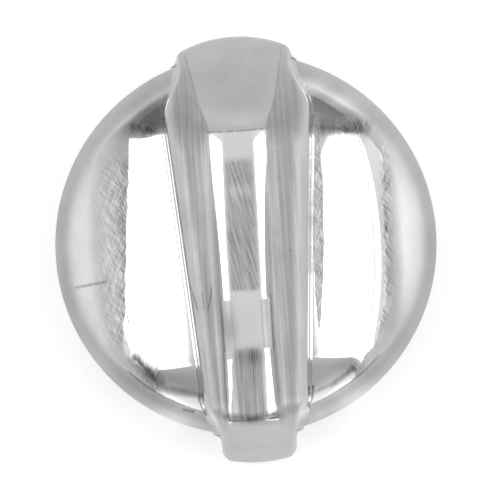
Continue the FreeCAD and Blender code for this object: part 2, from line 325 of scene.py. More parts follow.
@dataclass(frozen=True)
class DiscForm:
    """Skirt, shoulder, dome and the two finger scoops."""

    radius: float = 27.0
    skirt_draft: float = 0.3
    skirt_height: float = 6.9
    crest_radius: float = 24.3
    crest_height: float = 9.6
    shoulder_bend: float = 8.0
    dome_bend: float = 78.0
    trough_line: float = 7.2
    trough_floor: float = 5.35
    trough_reach: float = 21.5
    trough_rise: float = 7.15
    trough_bend: float = 42.0
    bowl_inner: float = 12.5
    bowl_outer: float = 24.2
    bowl_rise: float = 0.5
    bowl_drop: float = 5.3
    bowl_bend: float = 20.0
    summit_blend: float = 2.6
    wall_blend: float = 0.55
    wall_tilt: float = 0.11
    shift_fade: float = 6.0
    shift_side: Pair = (17.0, 12.0)
    left_side: Pair = (-14.0, -10.5)
    right_lift: float = 2.0
    lip_blend: float = 2.4
    lip_from: Pair = (-14.0, -18.0)
    crease_blend: float = 0.6
    crest_blend: float = 0.8
    probe: float = 0.05
    rings: int = 86
    shoulder_rings: int = 12
    skirt_rings: int = 9
    turns: int = 420
    below: float = 1.0

    def dome(self, reach: Array) -> Array:
        """Height of the dome, rounded off towards the shoulder.

        Args:
            reach: Distances from the shaft axis.

        Returns:
            Heights at those distances.
        """
        centre = self.shoulder_centre()
        slope = (self.crest_radius - centre[0]) / (self.crest_height - centre[1])
        shoulder = self.crest_height + (self.crest_radius - reach) * slope
        return soft_least(self.cap(reach), shoulder, self.crest_blend)

    def cap(self, reach: Array) -> Array:
        """Height of the plain dome at a distance from the shaft axis."""
        apex = self.crest_height + self.dome_bend - math.sqrt(self.dome_bend ** 2 - self.crest_radius ** 2)
        return apex - self.dome_bend + np.sqrt(self.dome_bend ** 2 - np.minimum(reach, self.radius) ** 2)

    def trough(self, across: Array) -> Array:
        """Height of a scoop's trough beside the bar.

        Args:
            across: Places across the bar.

        Returns:
            Heights at those places.
        """
        aside = np.abs(across)
        start = (self.trough_line, self.trough_floor)
        end = (self.trough_reach, self.trough_floor + self.trough_rise)
        bent = arc_height(start, end, self.trough_bend, np.clip(aside, self.trough_line, self.trough_reach))
        return bent + np.maximum(aside - self.trough_reach, 0.0)

    def bowl(self, reach: Array) -> Array:
        """Height of the bowl-shaped wall that closes a scoop at both ends.

        Args:
            reach: Distances from the shaft axis.

        Returns:
            Heights at those distances.
        """
        rim = self.crest_height + self.bowl_rise
        start, end = (self.bowl_inner, rim - self.bowl_drop), (self.bowl_outer, rim)
        bent = arc_height(start, end, self.bowl_bend, np.clip(reach, self.bowl_inner, self.bowl_outer))
        return bent + np.maximum(reach - self.bowl_outer, 0.0) * self.bowl_bend

    def wall_shift(self, x: Array, y: Array) -> Array:
        """Hand-buffed difference of the four end walls, fading out at their rims.

        Args:
            x: Places across the bar.
            y: Places along the bar.

        Returns:
            Rise of the walls, below 0 where they lie lower.
        """
        upper, lower = smooth_step(0.0, self.shift_fade, y), smooth_step(0.0, -self.shift_fade, y)
        # The upper end lies lower from the left side on, and the lift makes up for that on the right.
        lift = upper * smooth_step(0.0, self.shift_fade, x) * self.right_lift
        lower_fall = lower * smooth_step(*self.shift_side, np.abs(x))
        upper_fall = upper * smooth_step(*self.left_side, x)
        fade = np.maximum(self.bowl_outer - np.hypot(x, y), 0.0)
        return self.wall_tilt * (lift - lower_fall - upper_fall) * fade

    def height(self, x: Array, y: Array) -> Array:
        """Height of the disc's front inside the crest of its shoulder.

        Args:
            x: Places across the bar.
            y: Places along the bar.

        Returns:
            Heights with the scoops' edges rounded.
        """
        reach = np.hypot(x, y)
        trough, bowl = self.trough(x), self.bowl(reach) + self.wall_shift(x, y)
        scoop = -soft_least(-trough, -bowl, self.crease_blend)
        long_edge = np.clip((trough - bowl) / self.summit_blend + 0.5, 0.0, 1.0)
        wall = self.wall_blend + self.lip_blend * smooth_step(*self.lip_from, y)
        blend = wall + (self.summit_blend - wall) * long_edge
        return soft_least(self.dome(reach), scoop, blend)

    def skirt(self, level: float | Array) -> float | Array:
        """Distance of the drafted skirt from the shaft axis at a height."""
        return self.radius - self.skirt_draft * level / self.skirt_height

    def shoulder_centre(self) -> Pair:
        """Centre of the shoulder's arc in the half section."""
        foot = (self.radius - self.skirt_draft, self.skirt_height)
        return arc_centre(foot, (self.crest_radius, self.crest_height), self.shoulder_bend)

    def clearance(self, x: Array, y: Array, z: Array) -> Array:
        """Distance of points outside the disc's surface, near enough for rounding a corner.

        Args:
            x: Places across the bar.
            y: Places along the bar.
            z: Heights.

        Returns:
            Distances, below 0 inside the disc.
        """
        reach, step, level = np.hypot(x, y), self.probe, self.height(x, y)
        slope = np.hypot(self.height(x + step, y) - level, self.height(x, y + step) - level)
        above = (z - level) / np.sqrt(1 + (slope / step) ** 2)
        centre = self.shoulder_centre()
        round_it = np.hypot(reach - centre[0], z - centre[1]) - self.shoulder_bend
        beside = reach - self.skirt(np.clip(z, 0.0, self.skirt_height))
        outside = np.where(z > self.skirt_height, round_it, beside)
        return np.where(reach < self.crest_radius, above, outside)

    def blank(self) -> bpy.types.Object:
        """Make the closed disc, which goes a little below the back.

        Returns:
            The disc as a closed mesh.
        """
        angles = np.linspace(0.0, math.tau, self.turns, endpoint=False)
        rows = []
        for reach in np.linspace(0.0, self.crest_radius, self.rings)[1:]:
            x, y = reach * np.cos(angles), reach * np.sin(angles)
            rows.append(np.stack([x, y, self.height(x, y)], 1))
        rows += [ring(reach, level, angles) for reach, level in self.edge_profile()]
        crown = float(self.height(np.zeros(1), np.zeros(1))[0])
        middle = np.array([[0.0, 0.0, crown], [0.0, 0.0, -self.below]])
        points = np.concatenate([*rows, middle])
        faces = [face[::-1] for face in grid_faces(len(rows), self.turns, closed=True)]
        top, last = len(points) - 2, (len(rows) - 1) * self.turns
        for column in range(self.turns):
            after = (column + 1) % self.turns
            faces.append((top, column, after))
            faces.append((top + 1, last + after, last + column))
        return mesh_object("disc_blank", points, faces)

    def edge_profile(self) -> list[Pair]:
        """Rings over the shoulder and down the skirt.

        Returns:
            Distance from the shaft axis and height of each ring.
        """
        centre, foot = self.shoulder_centre(), self.radius - self.skirt_draft
        first = math.atan2(self.crest_height - centre[1], self.crest_radius - centre[0])
        last = math.atan2(self.skirt_height - centre[1], foot - centre[0])
        turns = np.linspace(first, last, self.shoulder_rings)[1:]
        reach = centre[0] + self.shoulder_bend * np.cos(turns)
        level = centre[1] + self.shoulder_bend * np.sin(turns)
        level = soft_least(self.cap(reach), level, self.crest_blend)
        down = np.linspace(self.skirt_height, 0.0, self.skirt_rings)[1:]
        skirt = zip(self.skirt(down).tolist(), down.tolist())
        return [*zip(reach.tolist(), level.tolist()), *skirt, (self.radius, -self.below)]


@dataclass(frozen=True)
class EndForm:
    """Sloping end of the grip bar."""

    side: float
    top: float
    half: float
    ridge: float
    crease: float
    brow: float
    brow_reach: float
    crease_reach: float
    tip: float
    tip_bend: float
    tip_drop: float
    lug_half: float
    lug_height: float
    corner: float
    waist: Pair

    @property
    def lug(self) -> float:
        """Distance of the lug's corners from the shaft axis."""
        return self.tip - self.tip_drop

    @property
    def slope(self) -> float:
        """Fall of the sloping facet per unit of length."""
        return (self.top - self.lug_height) / (self.lug - self.brow)

    def crest(self, along: Array, reach: float) -> Array:
        """Crest height over the brow and down the facet.

        Args:
            along: Distances from the shaft axis along this end.
            reach: How far the brow is rounded over to both sides.

        Returns:
            Heights at those distances.
        """
        turn = np.clip((along - self.brow) / reach, -1.0, 1.0)
        over_brow = self.slope * reach * (1 + turn) ** 2 / 4
        return self.top - over_brow - self.slope * np.maximum(along - self.brow - reach, 0.0)

    def tip_line(self, across: Array) -> Array:
        """Distance of the curved end from the shaft axis."""
        return self.tip - self.tip_bend + np.sqrt(np.maximum(self.tip_bend ** 2 - across ** 2, 0.0))


WIDE_END = EndForm(side=1.0, top=22.0, half=10.5, ridge=7.1, crease=3.95, brow=15.9, brow_reach=3.8,
                   crease_reach=0.4, tip=29.24, tip_bend=17.0, tip_drop=2.04, lug_half=8.15, lug_height=9.1,
                   corner=0.7, waist=(0.15, 0.85))
NARROW_END = EndForm(side=-1.0, top=21.5, half=7.5, ridge=4.9, crease=3.4, brow=24.4, brow_reach=2.7,
                     crease_reach=0.5, tip=30.69, tip_bend=16.0, tip_drop=0.44, lug_half=5.15, lug_height=6.8,
                     corner=0.9, waist=(-0.6, 0.45))


class Part(Enum):
    """Parts of the bar's section, from the flank to the middle."""

    ROUND_OVER = 0
    SWELL = 1
    COVE = 2
    FLOOR = 3


# Points along each part of the section.
SECTION_COUNTS = (14, 12, 11, 6)


@dataclass(frozen=True)
class BarForm:
    """Grip bar with two ridges and the channel between them."""

    wide: EndForm = WIDE_END
    narrow: EndForm = NARROW_END
    middle_half: float = 9.3
    ridge_middle: float = 6.0
    crease_middle: float = 3.5
    drifts: tuple[float, float, float] = (-0.12, -0.42, -0.5)
    channel_depth: float = 1.8
    end_depth: float = 0.6
    end_ease: float = 1.25
    cove_rise: float = 0.45
    cove_shares: tuple[float, float, float] = (0.5, 0.36, 0.44)
    cove_ends: Pair = (-27.0, 19.0)
    cove_flat: float = 0.75
    ridge_end: float = 0.45
    crease_end: float = 0.35
    side_draft: float = 0.035
    tip_round: float = 0.45
    edge_drop: float = 0.3
    edge_lean: float = 0.7
    foot_round: float = 0.8
    lug_round: float = 1.3
    lug_span: Pair = (20.5, 26.0)
    fillet_above: float = 1.3
    fillet_below: float = 0.5
    fillet_least: float = 0.4
    flare_most: float = 0.95
    flare_start: float = 1.5
    edge_steps: int = 4
    wall_steps: tuple[int, int, int] = (13, 13, 6)
    stations: int = 250
    samples: int = 4000
    brow_crowds: Pair = (4.0, 3.0)
    tip_crowd: float = 1.5
    tip_weight: float = 2.0
    below: float = 1.0

    def taper(self, along: Array, wide: float, middle: float, narrow: float) -> Array:
        """Smooth size along the bar.

        Args:
            along: Places along the bar.
            wide: Size at the wide end's brow.
            middle: Size at the shaft axis.
            narrow: Size at the narrow end's brow.

        Returns:
            Sizes at those places.
        """
        first, last = -self.narrow.brow, self.wide.brow
        return (narrow * along * (along - last) / (first * (first - last))
                + middle * (along - first) * (along - last) / (first * last)
                + wide * along * (along - first) / (last * (last - first)))

    def rule(self, along: Array) -> dict[str, Array]:
        """Section sizes of the bar.

        Args:
            along: Places along the bar.

        Returns:
            Crest height, half-widths, channel depth and the channel's drift to the side, by name.
        """
        wide, narrow, ahead = self.wide, self.narrow, along > 0
        share = np.where(ahead, (along - wide.brow) / (wide.lug - wide.brow),
                         (-along - narrow.brow) / (narrow.lug - narrow.brow))
        waist = np.where(ahead, smooth_step(*wide.waist, share), smooth_step(*narrow.waist, share))
        share = np.clip(share, 0.0, 1.0)
        fall = (wide.top - narrow.top) / 2 * np.where(ahead, np.clip(1 - along / wide.brow, 0.0, 1.0),
                                                      -np.clip(1 + along / narrow.brow, 0.0, 1.0))
        crest, brim = (np.where(ahead, wide.crest(along, first), narrow.crest(-along, second)) - fall
                       for first, second in ((wide.brow_reach, narrow.brow_reach),
                                             (wide.crease_reach, narrow.crease_reach)))
        foot, at_wide_lug, at_narrow_lug = (
            self.taper(place, wide.half, self.middle_half, narrow.half)
            for place in (along, np.array(wide.lug), np.array(-narrow.lug)))
        foot = foot - waist * np.where(ahead, at_wide_lug - wide.lug_half, at_narrow_lug - narrow.lug_half)
        side = foot - self.side_draft * crest
        last_ridge, ease = side - self.ridge_end, share ** self.end_ease
        ridge = self.taper(along, wide.ridge, self.ridge_middle, narrow.ridge)
        ridge = soft_least(ridge + (last_ridge - ridge) * ease, last_ridge, self.ridge_end)
        crease = self.taper(along, wide.crease, self.crease_middle, narrow.crease)
        crease = crease + (last_ridge - self.crease_end - crease) * ease
        crease = soft_least(crease, ridge - self.crease_end, self.crease_end)
        depth = self.channel_depth + (self.end_depth - self.channel_depth) * share
        depth = np.maximum(depth - (brim - crest), self.end_depth)
        drift = self.taper(along, *self.drifts) * (1 - share)
        return {"crest": crest, "foot": foot, "side": side, "ridge": ridge, "crease": crease, "depth": depth,
                "drift": drift}

    @staticmethod
    def section_points() -> tuple[Array, Array, Array]:
        """Points of the bar's section, from flank to flank.

        Returns:
            Part of the section, share along that part and hand of each point.
        """
        kind, share = [], []
        for part, count in zip(Part, SECTION_COUNTS):
            kind += [part.value] * count
            share += [number / count for number in range(count)]
        kind.append(Part.FLOOR.value)
        share.append(1.0)
        half = len(kind)
        hand = [1.0] * half + [-1.0] * (half - 1)
        return np.array(kind + kind[-2::-1]), np.array(share + share[-2::-1]), np.array(hand)

    def top(self, along: Array) -> tuple[Array, Array]:
        """Surface over the bar between its flanks.

        Args:
            along: Place along the bar of each point, in rows from flank to flank.

        Returns:
            Places across the bar and heights.
        """
        size = self.rule(along)
        crest, side, ridge, crease, depth = (size[n] for n in ("crest", "side", "ridge", "crease", "depth"))
        kind, share, hand = self.section_points()
        over, swell, rise = side - ridge, ridge - crease, depth * self.cove_rise
        shares = self.taper(np.clip(along, *self.cove_ends), *self.cove_shares)
        cove, swell_rise = crease * shares, depth - rise
        swell_bend = (swell ** 2 + swell_rise ** 2) / (swell_rise * 2)
        cove_bend = (cove ** 2 + rise ** 2) / (rise * 2)
        floor, floor_half = crest - depth, crease - cove
        turn, out = share * math.pi / 2, cove * (1 - share)
        parts = [kind == part.value for part in (Part.ROUND_OVER, Part.SWELL, Part.COVE)]
        across = np.select(parts, [ridge + over * np.cos(turn), ridge - swell * share, floor_half + out],
                           floor_half * (1 - share))
        swell_level = crest - swell_bend + np.sqrt(swell_bend ** 2 - (swell * share) ** 2)
        bent = cove_bend - np.sqrt(cove_bend ** 2 - out ** 2)
        cove_level = floor + bent * (1 - self.cove_flat) + rise * (1 - share) * self.cove_flat
        height = np.select(parts, [crest - over * (1 - np.sin(turn)), swell_level, cove_level], floor)
        drifting = np.select(parts[:2], [np.zeros_like(share), share], 1.0)
        return across * hand + size["drift"] * drifting, height

    def top_grid(self) -> Array:
        """Points over the bar's top, its end rows bent to the curved tips and its corners rounded.

        Returns:
            Points row by row from the narrow end to the wide one.
        """
        rows = self.station_rows()
        columns = len(self.section_points()[0])
        along = np.repeat(rows[:, None], columns, 1)
        across = self.top(along)[0]
        for end in (self.wide, self.narrow):
            tip = end.tip_line(across) - self.tip_round
            past = np.clip((along * end.side - end.brow) / (end.tip - self.tip_round - end.brow), 0.0, 1.0)
            on_end = along * end.side > end.brow
            along = np.where(on_end, end.side * (end.brow + (tip - end.brow) * past), along)
        across = self.top(along)[0]
        for end in (self.wide, self.narrow):
            half = np.abs(across[:, :1])
            stop = end.tip_line(across) - self.tip_round
            u = np.clip((np.abs(across) - half + end.corner) / end.corner, 0.0, 1.0)
            v = np.clip((along * end.side - stop + end.corner) / end.corner, 0.0, 1.0)
            inward = end.corner * u * (1 - np.sqrt(1 - v * v / 2))
            back = end.corner * v * (1 - np.sqrt(1 - u * u / 2))
            across = across - np.sign(across) * inward
            along = along - end.side * back
        return np.stack([across, along, self.top(along)[1]], 2)

    def station_rows(self) -> Array:
        """Places along the bar's middle line, closer together over the brows and at the tips.

        Returns:
            Places from the narrow tip to the wide one.
        """
        first, last = -self.narrow.tip + self.tip_round, self.wide.tip - self.tip_round
        fine = np.linspace(first, last, self.samples)
        density = np.ones_like(fine)
        for place, reach, weight in ((self.wide.brow, self.brow_crowds[0], 1.0),
                                     (-self.narrow.brow, self.brow_crowds[1], 1.0),
                                     (last, self.tip_crowd, self.tip_weight),
                                     (first, self.tip_crowd, self.tip_weight)):
            density += weight * np.exp(-((fine - place) / reach) ** 2)
        run = np.cumsum(density)
        return np.interp(np.linspace(run[0], run[-1], self.stations), run, fine)

    def solid(self, disc: DiscForm) -> bpy.types.Object:
        """Make the closed bar, its flanks flared softly where they meet the disc.

        Args:
            disc: Form that the bar stands on.

        Returns:
            The bar as a closed mesh that goes a little below the back.
        """
        grid = self.top_grid()
        rows, columns = grid.shape[:2]
        numbers = np.arange(rows * columns).reshape(rows, columns)
        loop = np.concatenate([numbers[:, 0], numbers[-1, 1:], numbers[-2::-1, -1], numbers[0, -2:0:-1]])
        edge = grid.reshape(-1, 3)[loop]
        wall = self.wall_rows(edge, disc)
        count = len(loop)
        points = np.concatenate([grid.reshape(-1, 3), wall.reshape(-1, 3)])
        faces = [face[::-1] for face in grid_faces(rows, columns)]
        start = rows * columns
        for column in range(count):
            after = (column + 1) % count
            faces.append((loop[after], loop[column], start + column, start + after))
        faces += [face[::-1] for face in grid_faces(len(wall), count, start, True)]
        bottom = start + (len(wall) - 1) * count
        faces.append(tuple(range(bottom, bottom + count))[::-1])
        return mesh_object("bar_solid", points, [tuple(int(n) for n in face) for face in faces])

    def wall_rows(self, edge: Array, disc: DiscForm) -> Array:
        """Rows of points down the flanks and ends, below the edge of the bar's top.

        Args:
            edge: Points round the edge of the top, in order.
            disc: Form that the flanks meet.

        Returns:
            Rows of points, each as long as the edge.
        """
        ahead, behind = np.roll(edge, -1, 0), np.roll(edge, 1, 0)
        run = (ahead - behind)[:, :2]
        length = np.maximum(np.hypot(run[:, 0], run[:, 1]), TINY)
        normal = np.stack([run[:, 1], -run[:, 0]], 1) / length[:, None]
        normal *= np.sign((normal * edge[:, :2]).sum(1))[:, None]
        inset = self.tip_round * np.abs(normal[:, 1])
        end_slope = np.where(edge[:, 1] > 0, self.wide.slope, self.narrow.slope)
        drop = self.edge_drop + inset * (end_slope + self.edge_lean)
        rows = []
        for share in np.linspace(0, 1, self.edge_steps + 1)[1:]:
            out = inset * (2 * share * (1 - share) + share ** 2)
            down = inset * end_slope * 2 * share * (1 - share) + drop * share ** 2
            rows.append((out, edge[:, 2] - down))
        foot = self.foot_heights(edge, disc)
        low_start = edge[:, 2] - drop
        fillet_top = np.minimum(foot + self.fillet_above, low_start - self.fillet_least)
        fillet_low = np.minimum(foot - self.fillet_below, fillet_top - self.fillet_least)
        stops = (low_start, fillet_top, fillet_low, np.full_like(foot, -self.below))
        for first, last, count in zip(stops, stops[1:], self.wall_steps):
            rows += [(inset, first + (last - first) * share) for share in np.linspace(0, 1, count)[1:]]
        return np.stack([self.wall_points(edge, normal, out, level, disc) for out, level in rows])

    @staticmethod
    def foot_heights(edge: Array, disc: DiscForm) -> Array:
        """Height at which the wall below each edge point meets the disc.

        Args:
            edge: Points round the edge of the top.
            disc: Form that the walls meet.

        Returns:
            Heights, one for each point.
        """
        reach = np.hypot(edge[:, 0], edge[:, 1])
        inside = disc.height(edge[:, 0], edge[:, 1])
        profile = np.array(disc.edge_profile()[::-1])
        shoulder = np.interp(-reach, -profile[1:, 0], profile[1:, 1], left=0.0)
        return np.where(reach < disc.crest_radius, inside, shoulder)

    def wall_points(self, edge: Array, normal: Array, out: Array, level: Array, disc: DiscForm) -> Array:
        """One row of the walls.

        Args:
            edge: Points round the edge of the top.
            normal: Outward direction of each edge point in plan.
            out: Distance of the row outside the edge.
            level: Height of the row at each edge point.
            disc: Form that the flanks meet.

        Returns:
            Points of the row.
        """
        draft = self.side_draft * np.maximum(edge[:, 2] - level, 0.0) * np.abs(normal[:, 0])
        flat = edge[:, :2] + normal * (out + draft)[:, None]
        gap = disc.clearance(flat[:, 0], flat[:, 1], level)
        reach = np.hypot(flat[:, 0], flat[:, 1])
        radius = self.foot_round + (self.lug_round - self.foot_round) * smooth_step(*self.lug_span, reach)
        near = np.clip(1 - gap / radius, 0.0, self.flare_most)
        under_edge = smooth_step(0.0, self.flare_start, edge[:, 2] - level)
        flare = radius * (1 - np.sqrt(1 - near ** 2)) * np.abs(normal[:, 0]) ** 2 * under_edge
        flat = flat + normal * flare[:, None]
        return np.concatenate([flat, level[:, None]], 1)


@dataclass(frozen=True)
class HollowForm:
    """Hollow back of the casting: disc hollow, bar hollow, socket boss and rib."""

    wall: float = 2.0
    depth: float = 3.6
    edge: float = 6.0
    bevel: float = 2.2
    roof_backs: Pair = (4.0, 3.0)
    boss_radius: float = 6.6
    boss_face: float = 7.0
    rib_half: float = 0.8
    rib_foot: float = 8.0
    socket_radius: float = 4.5
    socket_top: float = 14.0
    below: float = 2.0
    above: float = 30.0
    turns: int = 160

    def turned(self, name: str, profile: Sequence[Pair]) -> bpy.types.Object:
        """Make a closed turned form.

        Args:
            name: Name of the object.
            profile: Distance and height pairs from the lower end on the axis to the upper one.

        Returns:
            The turned mesh.
        """
        angles = np.linspace(0.0, math.tau, self.turns, endpoint=False)
        rows = [ring(reach, level, angles) for reach, level in profile]
        faces = grid_faces(len(rows), self.turns, closed=True)
        last = (len(rows) - 1) * self.turns
        faces.append(tuple(range(self.turns))[::-1])
        faces.append(tuple(range(last, last + self.turns)))
        return mesh_object(name, np.concatenate(rows), faces)

    def block(self, name: str, rows: Sequence[tuple[float, float, float, float]]) -> bpy.types.Object:
        """Make a form of upright rectangles in a row.

        Args:
            name: Name of the object.
            rows: Place along the bar, half-width, foot and top of each rectangle.

        Returns:
            The closed mesh.
        """
        corners = [((-w, y, low), (w, y, low), (w, y, high), (-w, y, high)) for y, w, low, high in rows]
        points = np.array(corners, float).reshape(-1, 3)
        faces = [face[::-1] for face in grid_faces(len(rows), 4, closed=True)]
        last = len(points) - 4
        faces += [(0, 1, 2, 3), (last + 3, last + 2, last + 1, last)]
        return mesh_object(name, points, faces)

    def bar_rows(self, bar: BarForm) -> list[tuple[float, float, float, float]]:
        """Rectangles of the hollow inside the bar.

        Args:
            bar: Form of the bar round the hollow.

        Returns:
            Place along the bar, half-width, foot and top of each, from the narrow end to the wide one.
        """
        inset = self.wall + bar.side_draft * bar.wide.top
        roof = bar.narrow.top - bar.channel_depth - self.wall
        rows = [(0.0, bar.middle_half - inset, roof)]
        for end, back in zip((bar.wide, bar.narrow), self.roof_backs):
            stop = end.lug - self.wall
            low = roof - (stop - end.brow + back) * end.slope
            bend = end.brow - back
            at_bend = bar.middle_half + (end.half - bar.middle_half) * bend / end.brow - inset
            at_brow = roof - back * end.slope
            rows += [(end.side * bend, at_bend, roof), (end.side * end.brow, end.half - inset, at_brow),
                     (end.side * stop, end.lug_half - inset, low)]
        return [(y, w, -self.below, top) for y, w, top in sorted(rows)]

    def cutter(self, disc: DiscForm, bar: BarForm) -> bpy.types.Object:
        """Make the space behind the shell, with everything below its back.

        Args:
            disc: Form of the disc round the space.
            bar: Form of the bar over the space.

        Returns:
            The space as a closed mesh.
        """
        inside = disc.radius - disc.skirt_draft - self.wall
        slope_end = inside - self.bevel / 2 - self.bevel
        space = self.turned("hollow_space", [(inside, -self.below), (inside, self.edge),
                                             (inside - self.bevel / 2, self.edge), (slope_end, self.depth)])
        combine(space, self.block("bar_space", self.bar_rows(bar)), Join.UNITE)
        boss = self.turned("boss", [(self.boss_radius, self.boss_face), (self.boss_radius, self.above)])
        combine(space, boss, Join.CUT)
        ends = (-disc.radius, disc.radius)
        rib = self.block("rib", [(y, self.rib_half, self.rib_foot, self.above) for y in ends])
        combine(space, rib, Join.CUT)
        radius = self.socket_radius
        socket = self.turned("socket", [(radius, -self.below / 2), (radius, self.socket_top)])
        combine(space, socket, Join.UNITE)
        wide = disc.radius * 2
        under = self.block("under", [(y, wide, -self.below * 2, 0.0) for y in (-wide, wide)])
        combine(space, under, Join.UNITE)
        return space


class Zone(Enum):
    """Surface zones of the casting, each with its own weight on the mesh."""

    POLISHED = "polished"
    # Patches of wear in the channel, darkened there as a painted reflection of the lens.
    WORN = "worn"
    BRUSHED = "brushed"
    # Weight that scales the colour: painted highlights, painted shade and painted reflections.
    TONE = "tone"
    SCRATCHED = "scratched"
    MARKED = "marked"
    CAST = "cast"


@dataclass(frozen=True)
class WearAndShadeMark:
    """Straight dark mark on the front, used for rubbed marks of wear and for painted lines of shade: its ends
    seen from above, its half-width and its strength.
    """

    start: Pair
    end: Pair
    half: float
    strength: float


# Dark marks on the front: real wear on the ring and the ridges, painted shade at the foot, the brows and the
# scoops' corners and rims.
WEAR_AND_SHADE_MARKS = (
    # On the ring: the dark scuff on the left and the faint one on the right.
    WearAndShadeMark((-24.0, -4.4), (-19.8, -3.9), 0.3, 0.75),
    WearAndShadeMark((20.2, -7.4), (23.6, -7.7), 0.1, 0.25),
    # On the ridges: three hairlines on the left one and a dot on the right one.
    WearAndShadeMark((-8.4, -3.3), (-7.15, -8.5), 0.14, 0.9),
    WearAndShadeMark((-6.4, -6.3), (-6.3, -8.4), 0.14, 0.8),
    WearAndShadeMark((-5.05, -5.7), (-5.7, -8.6), 0.14, 0.8),
    WearAndShadeMark((6.0, -1.2), (6.02, -1.25), 0.22, 0.6),
    # Painted shade in the corner along the right foot of the bar, and in the creases across both ends of the
    # channel.
    WearAndShadeMark((11.85, 12.5), (11.3, 3.0), 0.16, 0.6),
    WearAndShadeMark((-4.1, 15.6), (3.9, 15.6), 0.3, 0.9),
    WearAndShadeMark((-4.1, -23.3), (-0.8, -23.9), 0.8, 1.0),
    WearAndShadeMark((-0.8, -23.9), (2.6, -23.4), 0.8, 1.0),
    # Painted shade in the corners and along the lower rims of the scoops.
    WearAndShadeMark((-16.4, -14.8), (-13.4, -18.6), 1.3, 1.0),
    WearAndShadeMark((11.6, 15.6), (17.0, 14.9), 1.6, 0.9),
    WearAndShadeMark((-12.7, -19.2), (-8.6, -20.3), 0.6, 0.5),
    WearAndShadeMark((7.6, -21.4), (10.5, -20.4), 0.4, 0.5),
    WearAndShadeMark((10.5, -20.4), (13.8, -18.3), 0.5, 0.6),
    WearAndShadeMark((-14.6, 17.6), (-11.8, 16.6), 0.7, 0.7),
    WearAndShadeMark((-10.2, -22.4), (-8.9, -22.8), 0.3, 0.9),
)


@dataclass(frozen=True)
class Spot:
    """Soft spot, used for painted highlights and shade and for patches of dull polish: its place and reach
    from above, and by how much.
    """

    place: Pair
    reach: Pair
    amount: float

    def weight(self, x: Array, y: Array) -> Array:
        """Share of the amount at each place."""
        across, along = (x - self.place[0]) / self.reach[0], (y - self.place[1]) / self.reach[1]
        return np.exp(-across ** 2 - along ** 2)


def spotted(spots: Sequence[Spot], x: Array, y: Array) -> Array:
    """Sum of soft spots at each place."""
    return sum(spot.amount * spot.weight(x, y) for spot in spots)


# Painted highlights, painted shade and painted reflections on the bar's top and on the disc, and the corners
# where the polish is dull.
BAR_HIGHLIGHTS_AND_SHADE = (
    Spot((0.0, 22.0), (8.0, 3.5), -0.12),
    Spot((-3.0, -11.5), (0.9, 3.2), -0.45),
    Spot((-0.4, -11.0), (1.8, 3.0), -0.08),
    Spot((0.0, 17.2), (5.0, 1.5), 0.09),
    Spot((0.0, -15.4), (1.9, 1.4), -0.3),
    Spot((-0.5, -19.0), (1.8, 5.0), -0.03),
    Spot((0.0, 7.4), (2.2, 0.9), 0.25),
    Spot((-4.8, -23.3), (2.0, 1.3), 0.5),
    Spot((4.8, -23.3), (2.0, 1.3), 0.5),
)
# Corners of the scoops where the polish is dull and painted shade darkens them.
DULLED_AND_SHADED_CORNERS = (
    Spot((16.2, 15.4), (2.2, 1.2), 1.0),
    Spot((-13.2, 17.0), (1.8, 0.9), 0.9),
    Spot((13.9, -18.3), (1.4, 1.0), 0.7),
    Spot((-15.0, -16.9), (1.7, 1.7), 0.7),
)
# Painted bands of highlight and shade down the ring, painted highlights near the lower lips and the upper
# right wall, and painted shade on the upper left wall.
DISC_HIGHLIGHTS_AND_SHADE = (
    Spot((-21.6, 1.0), (1.5, 9.0), 0.06),
    Spot((21.9, 0.0), (1.1, 9.0), 0.22),
    Spot((-25.5, 0.0), (1.5, 10.0), -0.12),
    Spot((25.5, 0.0), (1.5, 10.0), -0.1),
    Spot((7.6, -23.8), (2.0, 1.5), 0.4),
    Spot((17.5, -17.0), (3.5, 3.5), 0.12),
    Spot((-11.5, -23.4), (5.0, 2.2), 0.55),
    Spot((12.6, -22.4), (5.0, 2.4), 0.55),
    Spot((-11.5, 18.5), (3.5, 2.5), -0.2),
    Spot((19.7, 0.0), (0.8, 9.0), -0.22),
    Spot((-18.8, 0.0), (1.2, 9.0), 0.08),
    Spot((-17.0, 0.0), (0.6, 10.0), -0.12),
    Spot((-20.2, -11.5), (1.6, 3.5), 0.14),
    Spot((13.1, 18.6), (3.0, 1.4), 0.6),
    Spot((10.8, 21.0), (2.2, 1.8), 0.4),
    Spot((11.5, -19.5), (4.0, 2.5), 0.2),
)


